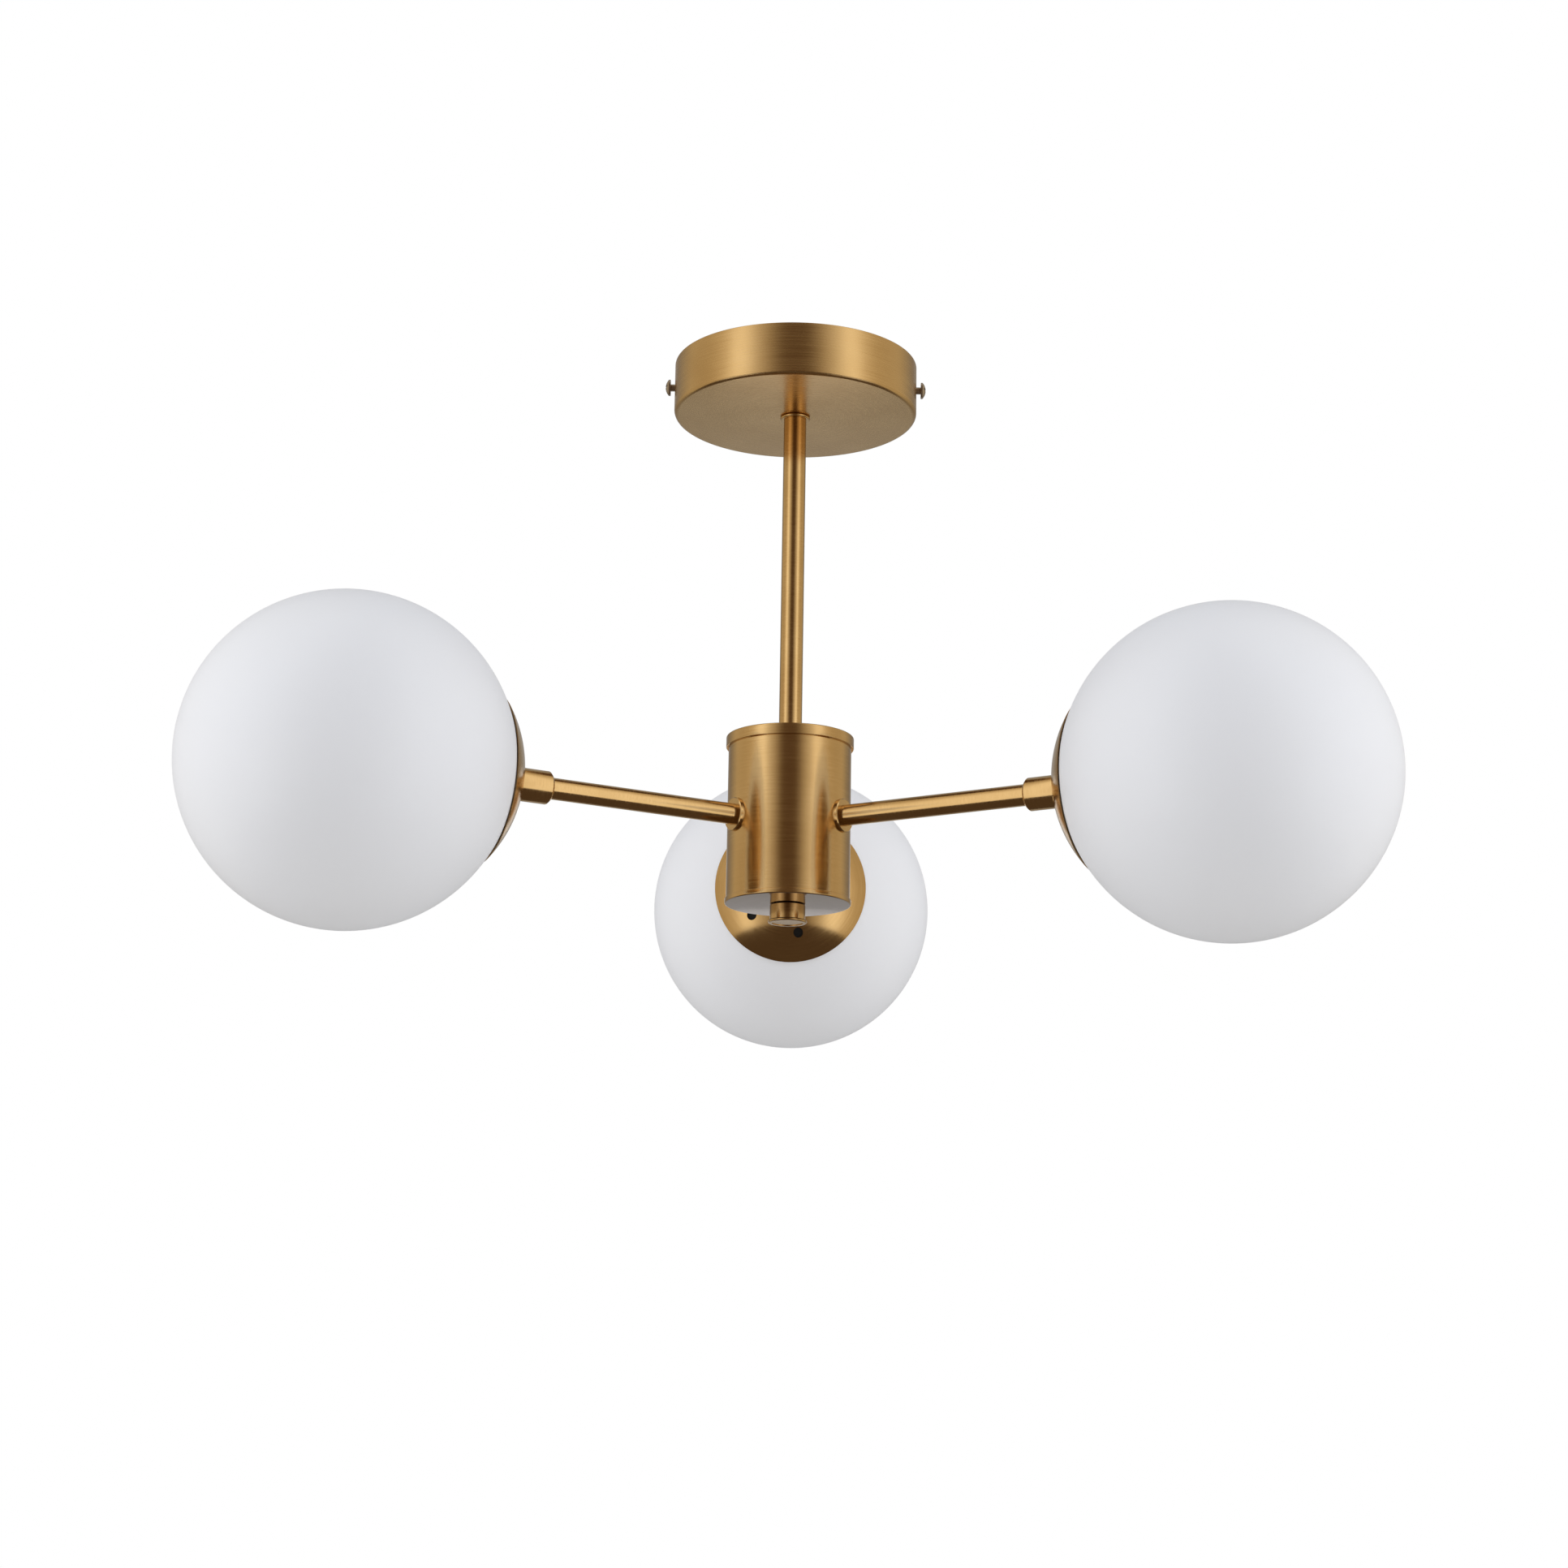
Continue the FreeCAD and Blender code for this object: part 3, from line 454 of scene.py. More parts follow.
def outline_points(outline: list[Corner | Sweep]) -> list[tuple[float, float]]:
    """Every point of a closed outline, in order."""
    ends = []
    for step in outline:
        reached = step.points() if isinstance(step, Sweep) else [(step.along, step.out)]
        ends.append((reached[0], reached[-1]))
    points: list[tuple[float, float]] = []
    for index, step in enumerate(outline):
        if isinstance(step, Sweep):
            points += step.points()
        else:
            points += rounded(ends[index - 1][1], step, ends[(index + 1) % len(ends)][0])
    return points


def turned(name: str, outline: list[Corner | Sweep], axis: Axis, segments: int = 128) -> bpy.types.Object:
    """Turns a closed outline about an axis.

    Args:
        name: The piece's name.
        outline: Its corners and round stretches, in millimetres.
        axis: The line that it is set on.
        segments: Sides of the piece on the way round.

    Returns:
        The piece, in its place.
    """
    mesh = bmesh.new()
    rings = []
    for along, out in outline_points(outline):
        if out < ON_AXIS:
            rings.append([mesh.verts.new((0.0, 0.0, along * MM))])
            continue
        ring = []
        for side in range(segments):
            angle = math.tau * side / segments
            across, deep = math.cos(angle) * out, math.sin(angle) * out
            ring.append(mesh.verts.new((across * MM, deep * MM, along * MM)))
        rings.append(ring)
    for index, ring in enumerate(rings):
        other = rings[index - 1]
        if len(ring) == 1 and len(other) == 1:
            continue
        for side in range(segments):
            after = (side + 1) % segments
            corners = [ring[side % len(ring)], ring[after % len(ring)]]
            corners += [other[after % len(other)], other[side % len(other)]]
            mesh.faces.new(dict.fromkeys(corners))
    bmesh.ops.remove_doubles(mesh, verts=mesh.verts, dist=WELD_DISTANCE)
    bmesh.ops.recalc_face_normals(mesh, faces=mesh.faces)
    return finished(name, mesh, axis.matrix)


def finished(name: str, mesh: bmesh.types.BMesh, place: Matrix) -> bpy.types.Object:
    """Makes an object of a mesh, with smooth faces and crisp edges, and puts its place in its mesh."""
    data = bpy.data.meshes.new(name)
    mesh.to_mesh(data)
    mesh.free()
    data.transform(place)
    smooth(data)
    piece = bpy.data.objects.new(name, data)
    bpy.context.scene.collection.objects.link(piece)
    return piece


def smooth(data: bpy.types.Mesh) -> None:
    """Shades a mesh smooth, and keeps its edges crisp."""
    data.shade_smooth()
    data.set_sharp_from_angle(angle=SMOOTH_EDGE)


def behind(centre: float, sphere: float, out: float) -> float:
    """Where along the arm a sphere's hubward face is, at a distance from the arm's axis."""
    return centre - math.sqrt(sphere * sphere - out * out)


def way_to(sphere: float, out: float) -> float:
    """Degrees from the outward way to a point of a sphere's hubward face, by its distance from the axis."""
    return 180 - math.degrees(math.asin(out / sphere))


# Drilled holes, made by a node tree


@dataclass(frozen=True)
class Drilling:
    """Round holes on a circle about the piece's axis: lengthwise, or outwards like spokes."""

    count: int
    hole_radius: float
    circle_radius: float
    place: float
    depth: float
    turn: float
    spokes: bool = False
    sides: int = 48

    def tree(self) -> bpy.types.GeometryNodeTree:
        """The node tree: drills stand on the points of a circle, and are taken from the piece."""
        tree = bpy.data.node_groups.new("drilled_holes", "GeometryNodeTree")
        face = tree.interface
        face.new_socket("Geometry", in_out="INPUT", socket_type="NodeSocketGeometry")
        for name, kind in (
            ("Count", "NodeSocketInt"),
            ("Hole Radius", "NodeSocketFloat"),
            ("Circle Radius", "NodeSocketFloat"),
            ("Depth", "NodeSocketFloat"),
            ("Place", "NodeSocketVector"),
            ("Turn", "NodeSocketVector"),
            ("Material", "NodeSocketMaterial"),
        ):
            face.new_socket(name, in_out="INPUT", socket_type=kind)
        face.new_socket("Geometry", in_out="OUTPUT", socket_type="NodeSocketGeometry")
        given = add_node(tree, "NodeGroupInput").outputs
        circle = add_node(
            tree, "GeometryNodeMeshCircle", {"Vertices": given["Count"], "Radius": given["Circle Radius"]}
        )
        drill = add_node(
            tree,
            "GeometryNodeMeshCylinder",
            {"Vertices": self.sides, "Radius": given["Hole Radius"], "Depth": given["Depth"]},
        )
        stand = {"Points": circle.outputs[0], "Instance": drill.outputs["Mesh"]}
        if self.spokes:
            spot = add_node(tree, "GeometryNodeInputPosition").outputs[0]
            facing = add_node(tree, "FunctionNodeAlignRotationToVector", {"Vector": spot}, axis="Z")
            stand["Rotation"] = facing.outputs[0]
        drills = add_node(tree, "GeometryNodeInstanceOnPoints", stand)
        whole = add_node(tree, "GeometryNodeRealizeInstances", {"Geometry": drills.outputs[0]})
        placed = add_node(
            tree,
            "GeometryNodeTransform",
            {"Geometry": whole.outputs[0], "Translation": given["Place"], "Rotation": given["Turn"]},
        )
        bored = add_node(
            tree,
            "GeometryNodeMeshBoolean",
            {"Mesh 1": given["Geometry"], "Mesh 2": placed.outputs[0]},
            operation="DIFFERENCE",
            solver="EXACT",
        )
        dressed = add_node(
            tree, "GeometryNodeSetMaterial", {"Geometry": bored.outputs[0], "Material": given["Material"]}
        )
        add_node(tree, "NodeGroupOutput", {"Geometry": dressed.outputs[0]})
        return tree

    def drill(self, piece: bpy.types.Object, axis: Axis, material: bpy.types.Material) -> None:
        """Bores a piece, and leaves it a plain mesh.

        Args:
            piece: The piece, in its place.
            axis: The line that it is set on.
            material: Its finish.
        """
        tree = self.tree()
        named = {item.name: item.identifier for item in tree.interface.items_tree if item.in_out == "INPUT"}
        modifier = piece.modifiers.new("drilling", "NODES")
        modifier.node_group = tree
        turn = Matrix.Rotation(math.radians(self.turn), 4, "Z")
        place = axis.matrix @ Matrix.Translation((0.0, 0.0, self.place * MM)) @ turn
        values = {
            "Count": self.count,
            "Hole Radius": self.hole_radius * MM,
            "Circle Radius": self.circle_radius * MM,
            "Depth": self.depth * MM,
            "Place": tuple(place.to_translation()),
            "Turn": tuple(place.to_euler("XYZ")),
            "Material": material,
        }
        for name, value in values.items():
            modifier[named[name]] = value
        graph = bpy.context.evaluated_depsgraph_get()
        graph.update()
        data = bpy.data.meshes.new_from_object(piece.evaluated_get(graph))
        piece.modifiers.remove(modifier)
        smooth(data)
        piece.data = data


# The light's parts


@dataclass
class Workshop:
    """The finishes, each made once, and the ways to dress a piece with them."""

    brass: dict[Axis, bpy.types.Material] = field(default_factory=dict)
    small: dict[str, bpy.types.Material] = field(default_factory=dict)
    opal: bpy.types.Material | None = None
    canopy_brass: bpy.types.Material | None = None
    polished_plate_painted_reflection: bpy.types.Material | None = None

    def open(self) -> None:
        """Makes every finish."""
        self.brass = {axis: BrushedBrass(axis).make() for axis in Axis}
        canopy = BrushedBrass(Axis.STEM, "canopy_brass", roughness=0.24, brush_depth=0.0015)
        self.canopy_brass = canopy.make()
        # The underside of the hub's plate is polished, and mirrors the finial; its pale grey-mauve colour
        # is a painted reflection of the floor below, not a colour of the brass.
        self.polished_plate_painted_reflection = BrushedBrass(Axis.STEM, "polished_plate_painted_reflection", "#AE9C8D", "#A39181", 0.1).make()
        self.small = {finish.slot: finish.make() for finish in SMALL_FINISHES}
        self.opal = OpalGlass().make()

    def dress_nodes(self) -> None:
        """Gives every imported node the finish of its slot."""
        slots = {row["node"]: row["material_slot"] for row in frame["record"]["subparts"]}
        for name, node in frame["nodes"].items():
            axis = Axis(int(name[-1])) if name[-1].isdigit() else Axis.STEM
            slot = slots[name]
            if slot == "opal_glass":
                material = self.opal
            else:
                material = self.small.get(slot) or self.brass[axis]
            node.data.materials.clear()
            node.data.materials.append(material)

    def stand_in(self, piece: bpy.types.Object, material: bpy.types.Material, node: str) -> None:
        """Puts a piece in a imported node's stead, on the same body.

        Args:
            piece: The piece.
            material: Its finish.
            node: The node that it stands for.
        """
        piece.data.materials.clear()
        piece.data.materials.append(material)
        body = next(b for b, members in frame["record"]["behaviour"]["bodies"].items() if node in members)
        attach(piece, body)
        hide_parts(node)
        LOG.info("%s: %d faces, on %s", piece.name, len(piece.data.polygons), body)


@dataclass
class Canopy:
    """The spun canopy at the ceiling, with the bead that ends it at the stem."""

    radius: float = 59.4
    depth: float = 25.7
    wall: float = 1.0
    edge_radius: float = 2.2
    rim_round: float = 0.35
    screw_drop: float = 11.0
    screw_hole: float = 1.8
    drill_length: float = 6.0
    bead_radius: float = 7.3
    bead_height: float = 1.5
    # Rounding as a share of the bead's height: just under a half, so that its two roundings don't meet.
    bead_round: float = 0.49
    sides: int = 192

    def canopy(self) -> bpy.types.Object:
        """The shell, open at the ceiling."""
        inside, base = self.radius - self.wall, -self.depth
        outline = [
            Corner(0, self.radius, self.rim_round),
            Corner(base, self.radius, self.edge_radius),
            Corner(base, THREAD_HOLE),
            Corner(base + self.wall, THREAD_HOLE),
            Corner(base + self.wall, inside, self.edge_radius - self.wall),
            Corner(0, inside, self.rim_round),
        ]
        return turned("canopy_shell", outline, Axis.STEM, self.sides)

    def bead(self) -> bpy.types.Object:
        """The bead between canopy and stem."""
        top, foot = -self.depth, -self.depth - self.bead_height
        edge = self.bead_height * self.bead_round
        outline = [
            Corner(top, THREAD_HOLE),
            Corner(top, self.bead_radius, edge),
            Corner(foot, self.bead_radius, edge),
            Corner(foot, THREAD_HOLE),
        ]
        return turned("stem_bead", outline, Axis.STEM)

    def build(self, shop: Workshop) -> None:
        """Makes and dresses the pieces."""
        brass = shop.canopy_brass
        shell = self.canopy()
        holes = Drilling(
            count=2,
            hole_radius=self.screw_hole,
            circle_radius=self.radius,
            place=-self.screw_drop,
            depth=self.drill_length,
            turn=0.0,
            spokes=True,
        )
        holes.drill(shell, Axis.STEM, brass)
        shop.stand_in(shell, brass, "canopy")
        shop.stand_in(self.bead(), shop.brass[Axis.STEM], "stem_washer")


@dataclass
class StemAndHub:
    """The stem, the hub's cap, shell and bottom plate, and the finial."""

    stem_top: float = -27.2
    hub_top: float = -188.2
    stem_radius: float = 5.5
    cap_radius: float = 30.5
    cap_height: float = 5.3
    sheet: float = 1.2
    shell_radius: float = 29.3
    shell_end: float = -267.0
    plate_radius: float = 29.9
    plate_height: float = 2.4
    plate_step: float = 3.1
    edge_round: float = 0.7
    arm_hole: float = 5.05
    drill_length: float = 8.0
    finial_top: float = -269.7
    finial_height: float = 8.5
    finial_radius: float = 8.4
    finial_lip: float = 0.7
    finial_core: float = 8.5
    finial_foot: float = 7.3
    socket_depth: float = 5.1
    sides: int = 160
    finial_sides: int = 96
    lip_steps: int = 12
    # A face of the plate whose normal points further down than this is its polished underside, which takes
    # the painted-reflection colour.
    facing_down: float = -0.9

    def stem(self) -> bpy.types.Object:
        """The stem tube."""
        outline = [
            Corner(self.stem_top, THREAD_HOLE),
            Corner(self.stem_top, self.stem_radius, LEAST_ROUND),
            Corner(self.hub_top, self.stem_radius, LEAST_ROUND),
            Corner(self.hub_top, THREAD_HOLE),
        ]
        return turned("stem", outline, Axis.STEM)

    def cap(self) -> bpy.types.Object:
        """The cap over the top of the shell."""
        skirt, under = self.shell_radius + FIT_GAP, self.hub_top - self.sheet
        lip = self.hub_top - self.cap_height
        outline = [
            Corner(self.hub_top, THREAD_HOLE),
            Corner(self.hub_top, self.cap_radius, self.edge_round),
            Corner(lip, self.cap_radius, SMALL_ROUND),
            Corner(lip, skirt),
            Corner(under, skirt),
            Corner(under, THREAD_HOLE),
        ]
        return turned("hub_top_cap", outline, Axis.STEM, self.sides)

    def shell(self) -> bpy.types.Object:
        """The shell, before its arm holes."""
        top, inside = self.hub_top - self.sheet, self.shell_radius - self.sheet
        outline = [
            Corner(top, self.shell_radius),
            Corner(self.shell_end, self.shell_radius, LEAST_ROUND),
            Corner(self.shell_end, inside),
            Corner(top, inside),
        ]
        return turned("hub_drum", outline, Axis.STEM, self.sides)

    def plate(self) -> bpy.types.Object:
        """The bottom plate, with its step inside the shell."""
        foot, inside = self.shell_end - self.plate_height, self.shell_radius - self.sheet - FIT_GAP
        step = self.shell_end + self.plate_step
        outline = [
            Corner(foot, THREAD_HOLE),
            Corner(foot, self.plate_radius, self.edge_round),
            Corner(self.shell_end, self.plate_radius, SMALL_ROUND),
            Corner(self.shell_end, inside),
            Corner(step, inside),
            Corner(step, inside - self.sheet),
            Corner(self.shell_end, inside - self.sheet),
            Corner(self.shell_end, THREAD_HOLE),
        ]
        return turned("hub_base_plate", outline, Axis.STEM, self.sides)

    def finial(self) -> bpy.types.Object:
        """The knob under the hub, with a rolled lip."""
        end = self.finial_top - self.finial_height
        socket = self.finial_top - self.socket_depth
        outline = [
            Corner(socket, 0),
            Corner(socket, THREAD_HOLE),
            Corner(self.finial_top, THREAD_HOLE),
            Corner(self.finial_top, self.finial_radius, SMALL_ROUND),
            Corner(end + 2 * self.finial_lip, self.finial_radius),
            Sweep(end + self.finial_lip, self.finial_core, self.finial_lip, 0, 180, self.lip_steps),
            Corner(end, self.finial_foot, LEAST_ROUND),
            Corner(end + self.finial_lip / 2, self.finial_foot),
            Corner(end + self.finial_lip / 2, 0),
        ]
        return turned("hub_finial", outline, Axis.STEM, self.finial_sides)

    def build(self, shop: Workshop) -> None:
        """Makes and dresses the pieces."""
        brass = shop.brass[Axis.STEM]
        drum = self.shell()
        holes = Drilling(
            count=ARM_COUNT,
            hole_radius=self.arm_hole,
            circle_radius=self.shell_radius,
            place=ARM_HEIGHT / MM,
            depth=self.drill_length,
            turn=FIRST_ARM_DEG,
            spokes=True,
        )
        holes.drill(drum, Axis.STEM, brass)
        shop.stand_in(drum, brass, "hub_shell")
        shop.stand_in(self.stem(), brass, "stem_tube")
        shop.stand_in(self.cap(), brass, "hub_cap")
        plate = self.plate()
        shop.stand_in(plate, brass, "hub_bottom_plate")
        # The downward faces get the second material: real polish, with a grey-mauve colour that is painted
        # reflection of the floor.
        plate.data.materials.append(shop.polished_plate_painted_reflection)
        for face in plate.data.polygons:
            face.material_index = int(face.normal.z < self.facing_down)
        shop.stand_in(self.finial(), brass, "finial")


@dataclass
class ArmAndGlobe:
    """One arm: its tube and collar, the domed cup with its vent holes, and the globe."""

    axis: Axis
    arm_radius: float = 5.0
    arm_bore: float = 4.2
    arm_start: float = 20.0
    arm_end: float = 131.8
    collar_start: float = 125.8
    collar_radius: float = 7.65
    collar_chamfer: float = 1.0
    cup_back: float = 143.5
    cup_centre: float = 202.8
    cup_wall: float = 0.8
    rim_radius: float = 39.8
    vent_count: int = 6
    vent_radius: float = 2.5
    vent_circle: float = 26.0
    vent_turn: float = -10.0
    drill_place: float = 6.0
    drill_length: float = 20.0
    globe_centre: float = 223.5
    globe_radius: float = 75.0
    globe_wall: float = 3.0
    globe_hole: float = 18.6
    end_gap: float = 0.1
    tube_sides: int = 96
    cup_sides: int = 144
    cup_steps: int = 32
    globe_sides: int = 192
    globe_steps: int = 96
    inside_steps: int = 64

    def tube(self) -> bpy.types.Object:
        """The arm tube."""
        outline = [
            Corner(self.arm_start, self.arm_bore),
            Corner(self.arm_start, self.arm_radius),
            Corner(self.arm_end, self.arm_radius),
            Corner(self.arm_end, self.arm_bore),
        ]
        return turned(f"arm_{self.axis.value}", outline, self.axis, self.tube_sides)

    def collar(self) -> bpy.types.Object:
        """The collar between arm and cup, chamfered towards the hub."""
        bore, cut = self.arm_radius + FIT_GAP, self.collar_chamfer
        stop = self.arm_end + self.end_gap
        outline = [
            Corner(self.collar_start, bore),
            Corner(self.collar_start, self.collar_radius - cut),
            Corner(self.collar_start + cut, self.collar_radius, SMALL_ROUND),
            Corner(self.cup_back, self.collar_radius, LEAST_ROUND),
            Corner(self.cup_back, THREAD_HOLE),
            Corner(stop, THREAD_HOLE),
            Corner(stop, bore),
        ]
        return turned(f"cup_collar_{self.axis.value}", outline, self.axis, self.tube_sides)

    def cup(self) -> bpy.types.Object:
        """The cup, before its vent holes."""
        curve = self.cup_centre - self.cup_back
        inside = curve - self.cup_wall
        rim_plane = behind(self.cup_centre, curve, self.rim_radius)
        rim_bore = math.sqrt(inside**2 - (self.cup_centre - rim_plane) ** 2)
        skin = (
            (curve, way_to(curve, THREAD_HOLE), way_to(curve, self.rim_radius)),
            (inside, way_to(inside, rim_bore), way_to(inside, THREAD_HOLE)),
        )
        outline = [
            Sweep(self.cup_centre, 0, sphere, start, end, self.cup_steps) for sphere, start, end in skin
        ]
        return turned(f"globe_cup_{self.axis.value}", outline, self.axis, self.cup_sides)

    def globe(self) -> bpy.types.Object:
        """The blown globe, with the hole that its thread ring is bonded into."""
        inside = self.globe_radius - self.globe_wall
        outer_way, inner_way = (way_to(sphere, self.globe_hole) for sphere in (self.globe_radius, inside))
        outline = [
            Sweep(self.globe_centre, 0, self.globe_radius, outer_way, 0, self.globe_steps),
            Sweep(self.globe_centre, 0, inside, 0, inner_way, self.inside_steps),
        ]
        return turned(f"opal_globe_{self.axis.value}", outline, self.axis, self.globe_sides)

    def build(self, shop: Workshop) -> None:
        """Makes and dresses the pieces."""
        number, brass = self.axis.value, shop.brass[self.axis]
        cup = self.cup()
        holes = Drilling(
            count=self.vent_count,
            hole_radius=self.vent_radius,
            circle_radius=self.vent_circle,
            place=self.cup_back + self.drill_place,
            depth=self.drill_length,
            turn=180.0 + self.vent_turn,
        )
        holes.drill(cup, self.axis, brass)
        shop.stand_in(cup, brass, f"glass_cup_{number}")
        shop.stand_in(self.tube(), brass, f"arm_tube_{number}")
        shop.stand_in(self.collar(), brass, f"arm_end_collar_{number}")
        shop.stand_in(self.globe(), shop.opal, f"glass_globe_{number}")


# The studio

# The tent's cloth by degrees round from the lens: dark there, white at the sides, dim behind the light.
TENT_TONES = (
    (1, "#534234"),
    (11, "#564636"),
    (18, "#766B5F"),
    (26, "#A2998C"),
    (38, "#CBC7C0"),
    (49, "#FBFAF6"),
    (58, "#FBFAF6"),
    (68, "#CEC6B7"),
    (80, "#B7AD99"),
    (95, "#B0A693"),
    (115, "#B4AB97"),
    (132, "#948E81"),
    (150, "#77716A"),
    (165, "#8C8C8B"),
    (179, "#959697"),
)


@dataclass
class Studio:
    """The camera where the photograph was taken from, the lights, the floor and the light tent."""

    camera_place: tuple[float, float, float] = (0.0112, -1.3559, -0.5339)
    yaw: float = 0.584
    pitch: float = 13.404
    roll: float = -0.918
    focal_pixels: float = 3604.0
    sensor: float = 36.0
    clip_range: tuple[float, float] = (0.05, 50.0)
    lamp_aim: tuple[float, float, float] = (0.0, 0.0, -0.18)
    lamp_side: float = 1.75
    lamp_depth: float = -0.6
    lamp_height: float = 0.1
    lamp_size: tuple[float, float] = (0.9, 1.6)
    lamp_power: float = 12.5
    fill_strength: float = 0.74
    fill_low_colour: str = "#8F8A86"
    fill_blend: tuple[float, float] = (-0.5, 0.1)
    floor_height: float = -1.15
    floor_radius: float = 2.6
    floor_sides: int = 64
    floor_colour: str = "#E4E2DE"
    floor_roughness: float = 0.9
    tent_radius: float = 2.4
    tent_top: float = 1.2
    tent_foot: float = -1.8
    tent_sides: int = 96
    tent_glow: float = 1.3
    tent_floor_colour: str = "#574A3F"

    def camera(self) -> None:
        """The camera, looking a little up at the light."""
        data = bpy.data.cameras.new("camera")
        data.sensor_width = self.sensor
        data.lens = self.focal_pixels / PHOTO_SIDE * self.sensor
        data.clip_start, data.clip_end = self.clip_range
        camera = bpy.data.objects.new("camera", data)
        yaw, pitch, roll = (math.radians(angle) for angle in (self.yaw, self.pitch, self.roll))
        facing = Matrix.Rotation(yaw, 4, "Z") @ Matrix.Rotation(pitch, 4, "X")
        facing = facing @ Matrix.Rotation(roll, 4, "Y")
        upright = Matrix.Rotation(math.radians(90), 4, "X")
        camera.matrix_world = Matrix.Translation(self.camera_place) @ facing @ upright
        bpy.context.scene.collection.objects.link(camera)
        bpy.context.scene.camera = camera

    def lamp(self, name: str, across: float) -> None:
        """A soft rectangular lamp that faces the middle of the light.

        Args:
            name: Its name.
            across: How far it hangs to the right, in metres.
        """
        data = bpy.data.lights.new(name, "AREA")
        data.shape = "RECTANGLE"
        data.size, data.size_y = self.lamp_size
        data.energy = self.lamp_power
        lamp = bpy.data.objects.new(name, data)
        place = Vector((across, self.lamp_depth, self.lamp_height))
        lamp.location = place
        lamp.rotation_mode = "QUATERNION"
        lamp.rotation_quaternion = (Vector(self.lamp_aim) - place).to_track_quat("-Z", "Y")
        # It lights the glass; the tent draws the metal's highlights.
        lamp.visible_glossy = False
        bpy.context.scene.collection.objects.link(lamp)

    def backdrop_world(self) -> None:
        """White to the camera; for the light that falls on the object, plain and darker from below."""
        world = bpy.data.worlds.new("studio")
        bpy.context.scene.world = world
        world.use_nodes = True
        tree = world.node_tree
        tree.nodes.clear()
        rays = add_node(tree, "ShaderNodeLightPath").outputs
        way = add_node(tree, "ShaderNodeTexCoord").outputs["Generated"]
        height = add_node(tree, "ShaderNodeSeparateXYZ", {"Vector": way}).outputs["Z"]
        low, high = self.fill_blend
        above = add_node(
            tree, "ShaderNodeMapRange", {"Value": height, "From Min": low, "From Max": high}, clamp=True
        )
        tone = add_node(
            tree,
            "ShaderNodeMix",
            {"Factor": above.outputs[0], "A": linear(self.fill_low_colour), "B": linear("#FFFFFF")},
            data_type="RGBA",
        )
        fill = add_node(
            tree,
            "ShaderNodeBackground",
            {"Color": tone.outputs["Result"], "Strength": self.fill_strength},
        )
        white = add_node(tree, "ShaderNodeBackground", {"Color": linear("#FFFFFF"), "Strength": 1.0})
        seen = add_node(
            tree,
            "ShaderNodeMath",
            {0: rays["Is Camera Ray"], 1: rays["Is Transmission Ray"]},
            operation="MAXIMUM",
        )
        mixed = add_node(
            tree, "ShaderNodeMixShader", {0: seen.outputs[0], 1: fill.outputs[0], 2: white.outputs[0]}
        )
        add_node(tree, "ShaderNodeOutputWorld", {"Surface": mixed.outputs[0]})

    def circle(self, radius: float, height: float, sides: int) -> list[tuple[float, float, float]]:
        """Points evenly round the middle of the studio, in metres."""
        turns = [math.tau * side / sides for side in range(sides)]
        return [(radius * math.cos(turn), radius * math.sin(turn), height) for turn in turns]

    def floor(self) -> None:
        """The round floor, in one matte colour."""
        corners = self.circle(self.floor_radius, self.floor_height, self.floor_sides)
        data = bpy.data.meshes.new("floor")
        data.from_pydata(corners, [], [range(len(corners))])
        sheet = bpy.data.objects.new("floor", data)
        bpy.context.scene.collection.objects.link(sheet)
        # Plain matte paint.
        material, _, shader = new_material("floor")
        shader.inputs["Base Color"].default_value = linear(self.floor_colour)
        shader.inputs["Roughness"].default_value = self.floor_roughness
        data.materials.append(material)
        # The metal sees the tent there instead.
        sheet.visible_glossy = False

    def tent_mesh(self) -> bmesh.types.BMesh:
        """The tent's wall, roof and floor; the floor has the second material."""
        mesh = bmesh.new()
        sides = self.tent_sides
        for height in (self.tent_foot, self.tent_top):
            for place in self.circle(self.tent_radius, height, sides):
                mesh.verts.new(place)
        mesh.verts.ensure_lookup_table()
        for side in range(sides):
            after = (side + 1) % sides
            mesh.faces.new([mesh.verts[i] for i in (side, after, after + sides, side + sides)])
        floor = mesh.faces.new([mesh.verts[side] for side in range(sides)])
        floor.material_index = 1
        mesh.faces.new([mesh.verts[sides + side] for side in range(sides)])
        return mesh

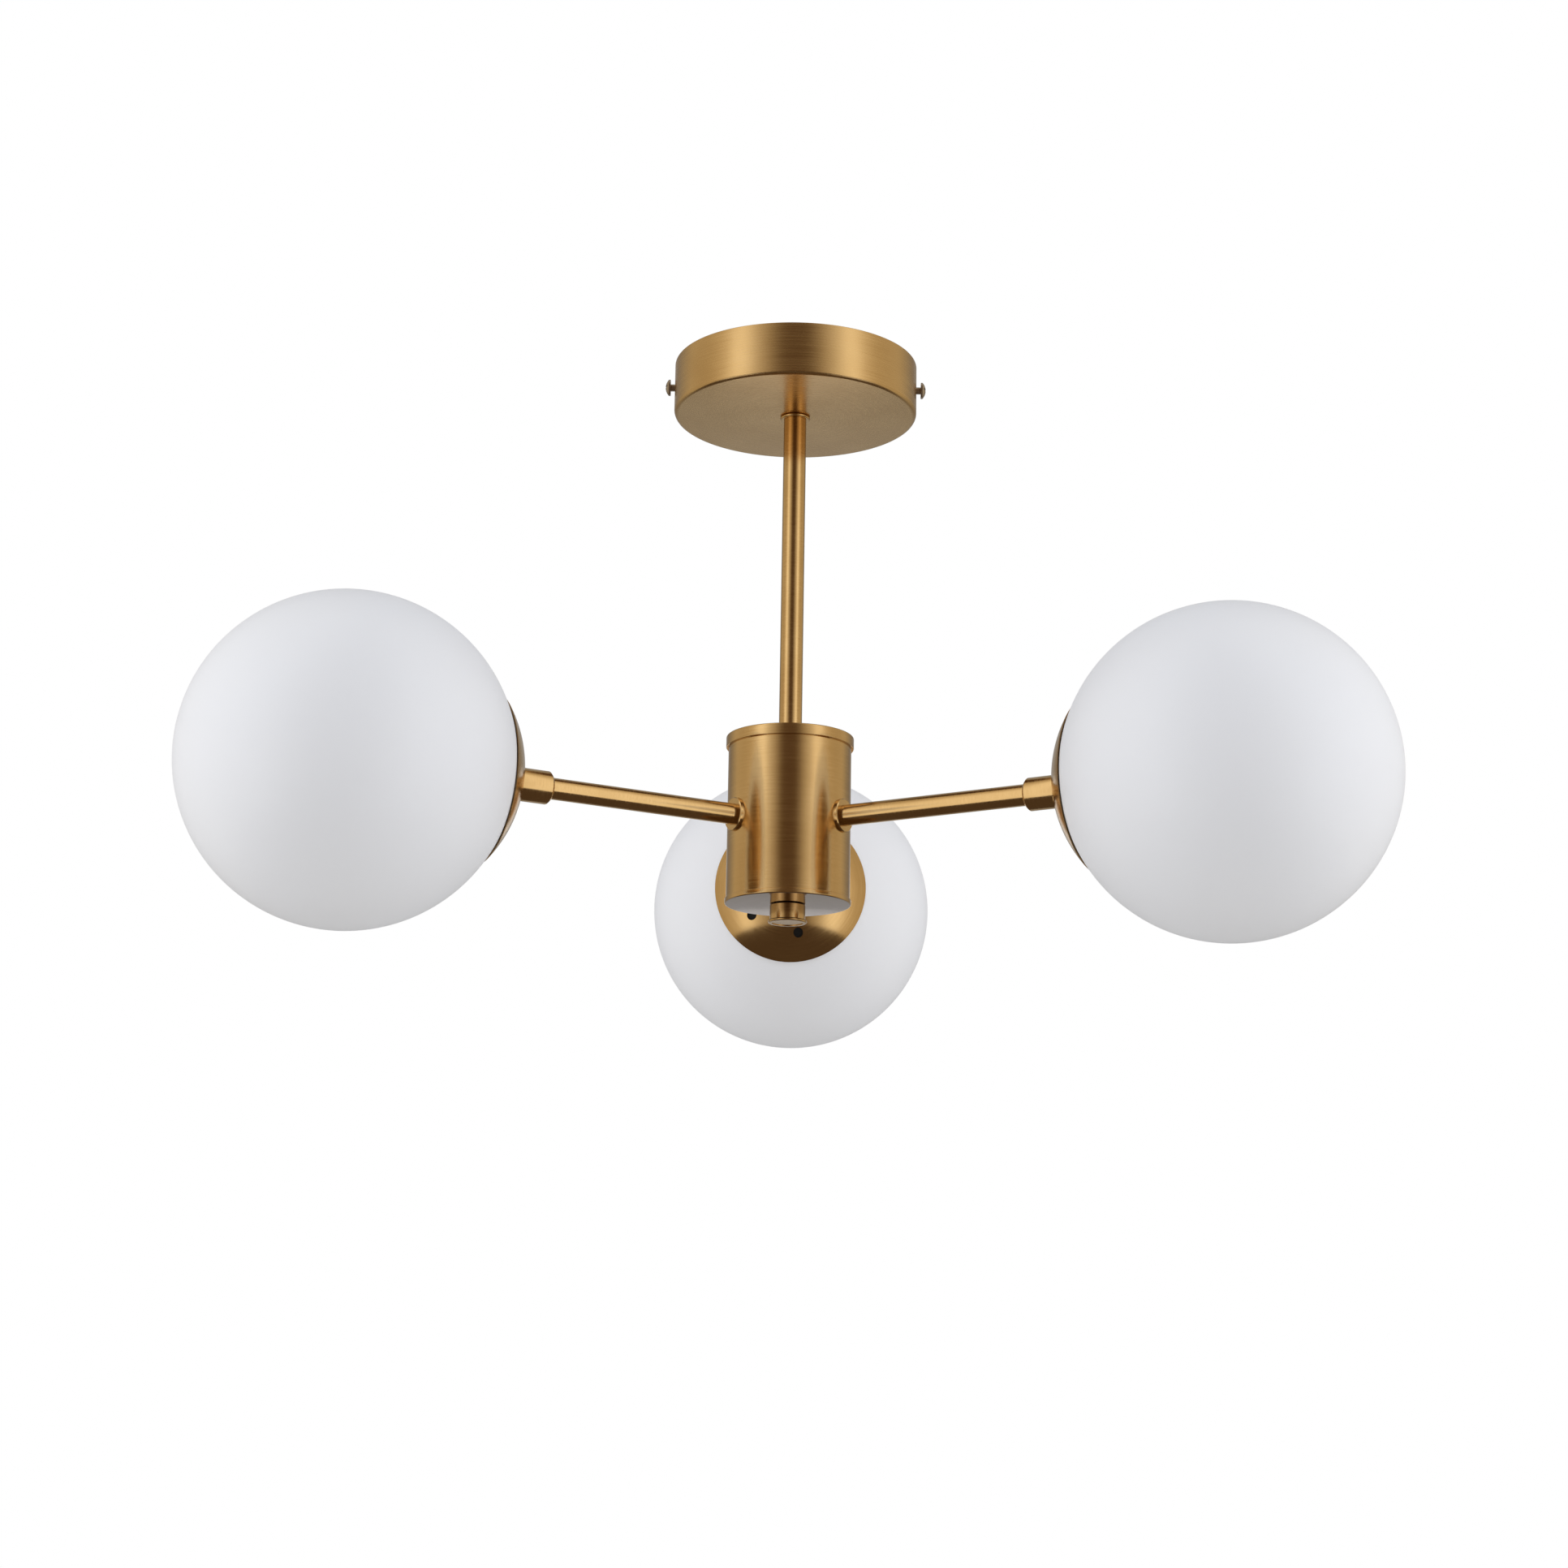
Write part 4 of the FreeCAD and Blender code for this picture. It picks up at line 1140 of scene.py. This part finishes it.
    def tent_cloth(self) -> bpy.types.Material:
        """The glowing cloth, toned by the way round from the lens."""
        material, tree, shader = new_material("tent_cloth")
        tree.nodes.remove(shader)
        place = add_node(tree, "ShaderNodeTexCoord").outputs["Object"]
        parts = add_node(tree, "ShaderNodeSeparateXYZ", {"Vector": place})
        sideways = add_node(tree, "ShaderNodeMath", {0: parts.outputs["X"]}, operation="ABSOLUTE")
        forward = add_node(
            tree, "ShaderNodeMath", {0: parts.outputs["Y"], 1: -1.0}, operation="MULTIPLY"
        )
        angle = add_node(
            tree, "ShaderNodeMath", {0: sideways.outputs[0], 1: forward.outputs[0]}, operation="ARCTAN2"
        )
        share = add_node(tree, "ShaderNodeMath", {0: angle.outputs[0], 1: math.pi}, operation="DIVIDE")
        cloth = add_node(tree, "ShaderNodeValToRGB", {"Fac": share.outputs[0]})
        ramp = cloth.color_ramp
        for degrees, tone in TENT_TONES:
            stop = ramp.elements.new(degrees / 180)
            stop.color = linear(tone)
        ramp.elements.remove(ramp.elements[0])
        ramp.elements.remove(ramp.elements[-1])
        glow = add_node(tree, "ShaderNodeEmission", {"Color": cloth.outputs[0], "Strength": self.tent_glow})
        tree.links.new(glow.outputs[0], tree.nodes["Material Output"].inputs["Surface"])
        return material

    def tent_floor(self) -> bpy.types.Material:
        """The dim cloth under the light."""
        material, tree, shader = new_material("tent_floor_cloth")
        tree.nodes.remove(shader)
        glow = add_node(
            tree, "ShaderNodeEmission", {"Color": linear(self.tent_floor_colour), "Strength": 1.0}
        )
        tree.links.new(glow.outputs[0], tree.nodes["Material Output"].inputs["Surface"])
        return material

    def tent(self) -> None:
        """A light tent that only reflections in metal and glass show."""
        tent = finished("light_tent", self.tent_mesh(), Matrix.Identity(4))
        tent.data.materials.append(self.tent_cloth())
        tent.data.materials.append(self.tent_floor())
        tent.visible_camera = tent.visible_diffuse = tent.visible_shadow = tent.visible_transmission = False

    def build(self) -> None:
        """Sets up the studio."""
        self.camera()
        self.backdrop_world()
        self.lamp("left_soft_light", -self.lamp_side)
        self.lamp("right_soft_light", self.lamp_side)
        self.floor()
        self.tent()
        bpy.context.scene.view_settings.view_transform = "Standard"


def main() -> None:
    """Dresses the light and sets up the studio."""
    logging.basicConfig(level=logging.INFO, format="%(message)s")
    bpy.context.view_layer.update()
    shop = Workshop()
    shop.open()
    shop.dress_nodes()
    Canopy().build(shop)
    StemAndHub().build(shop)
    for axis in ARMS:
        ArmAndGlobe(axis).build(shop)
    Studio().build()


if __name__ == "__main__":
    main()
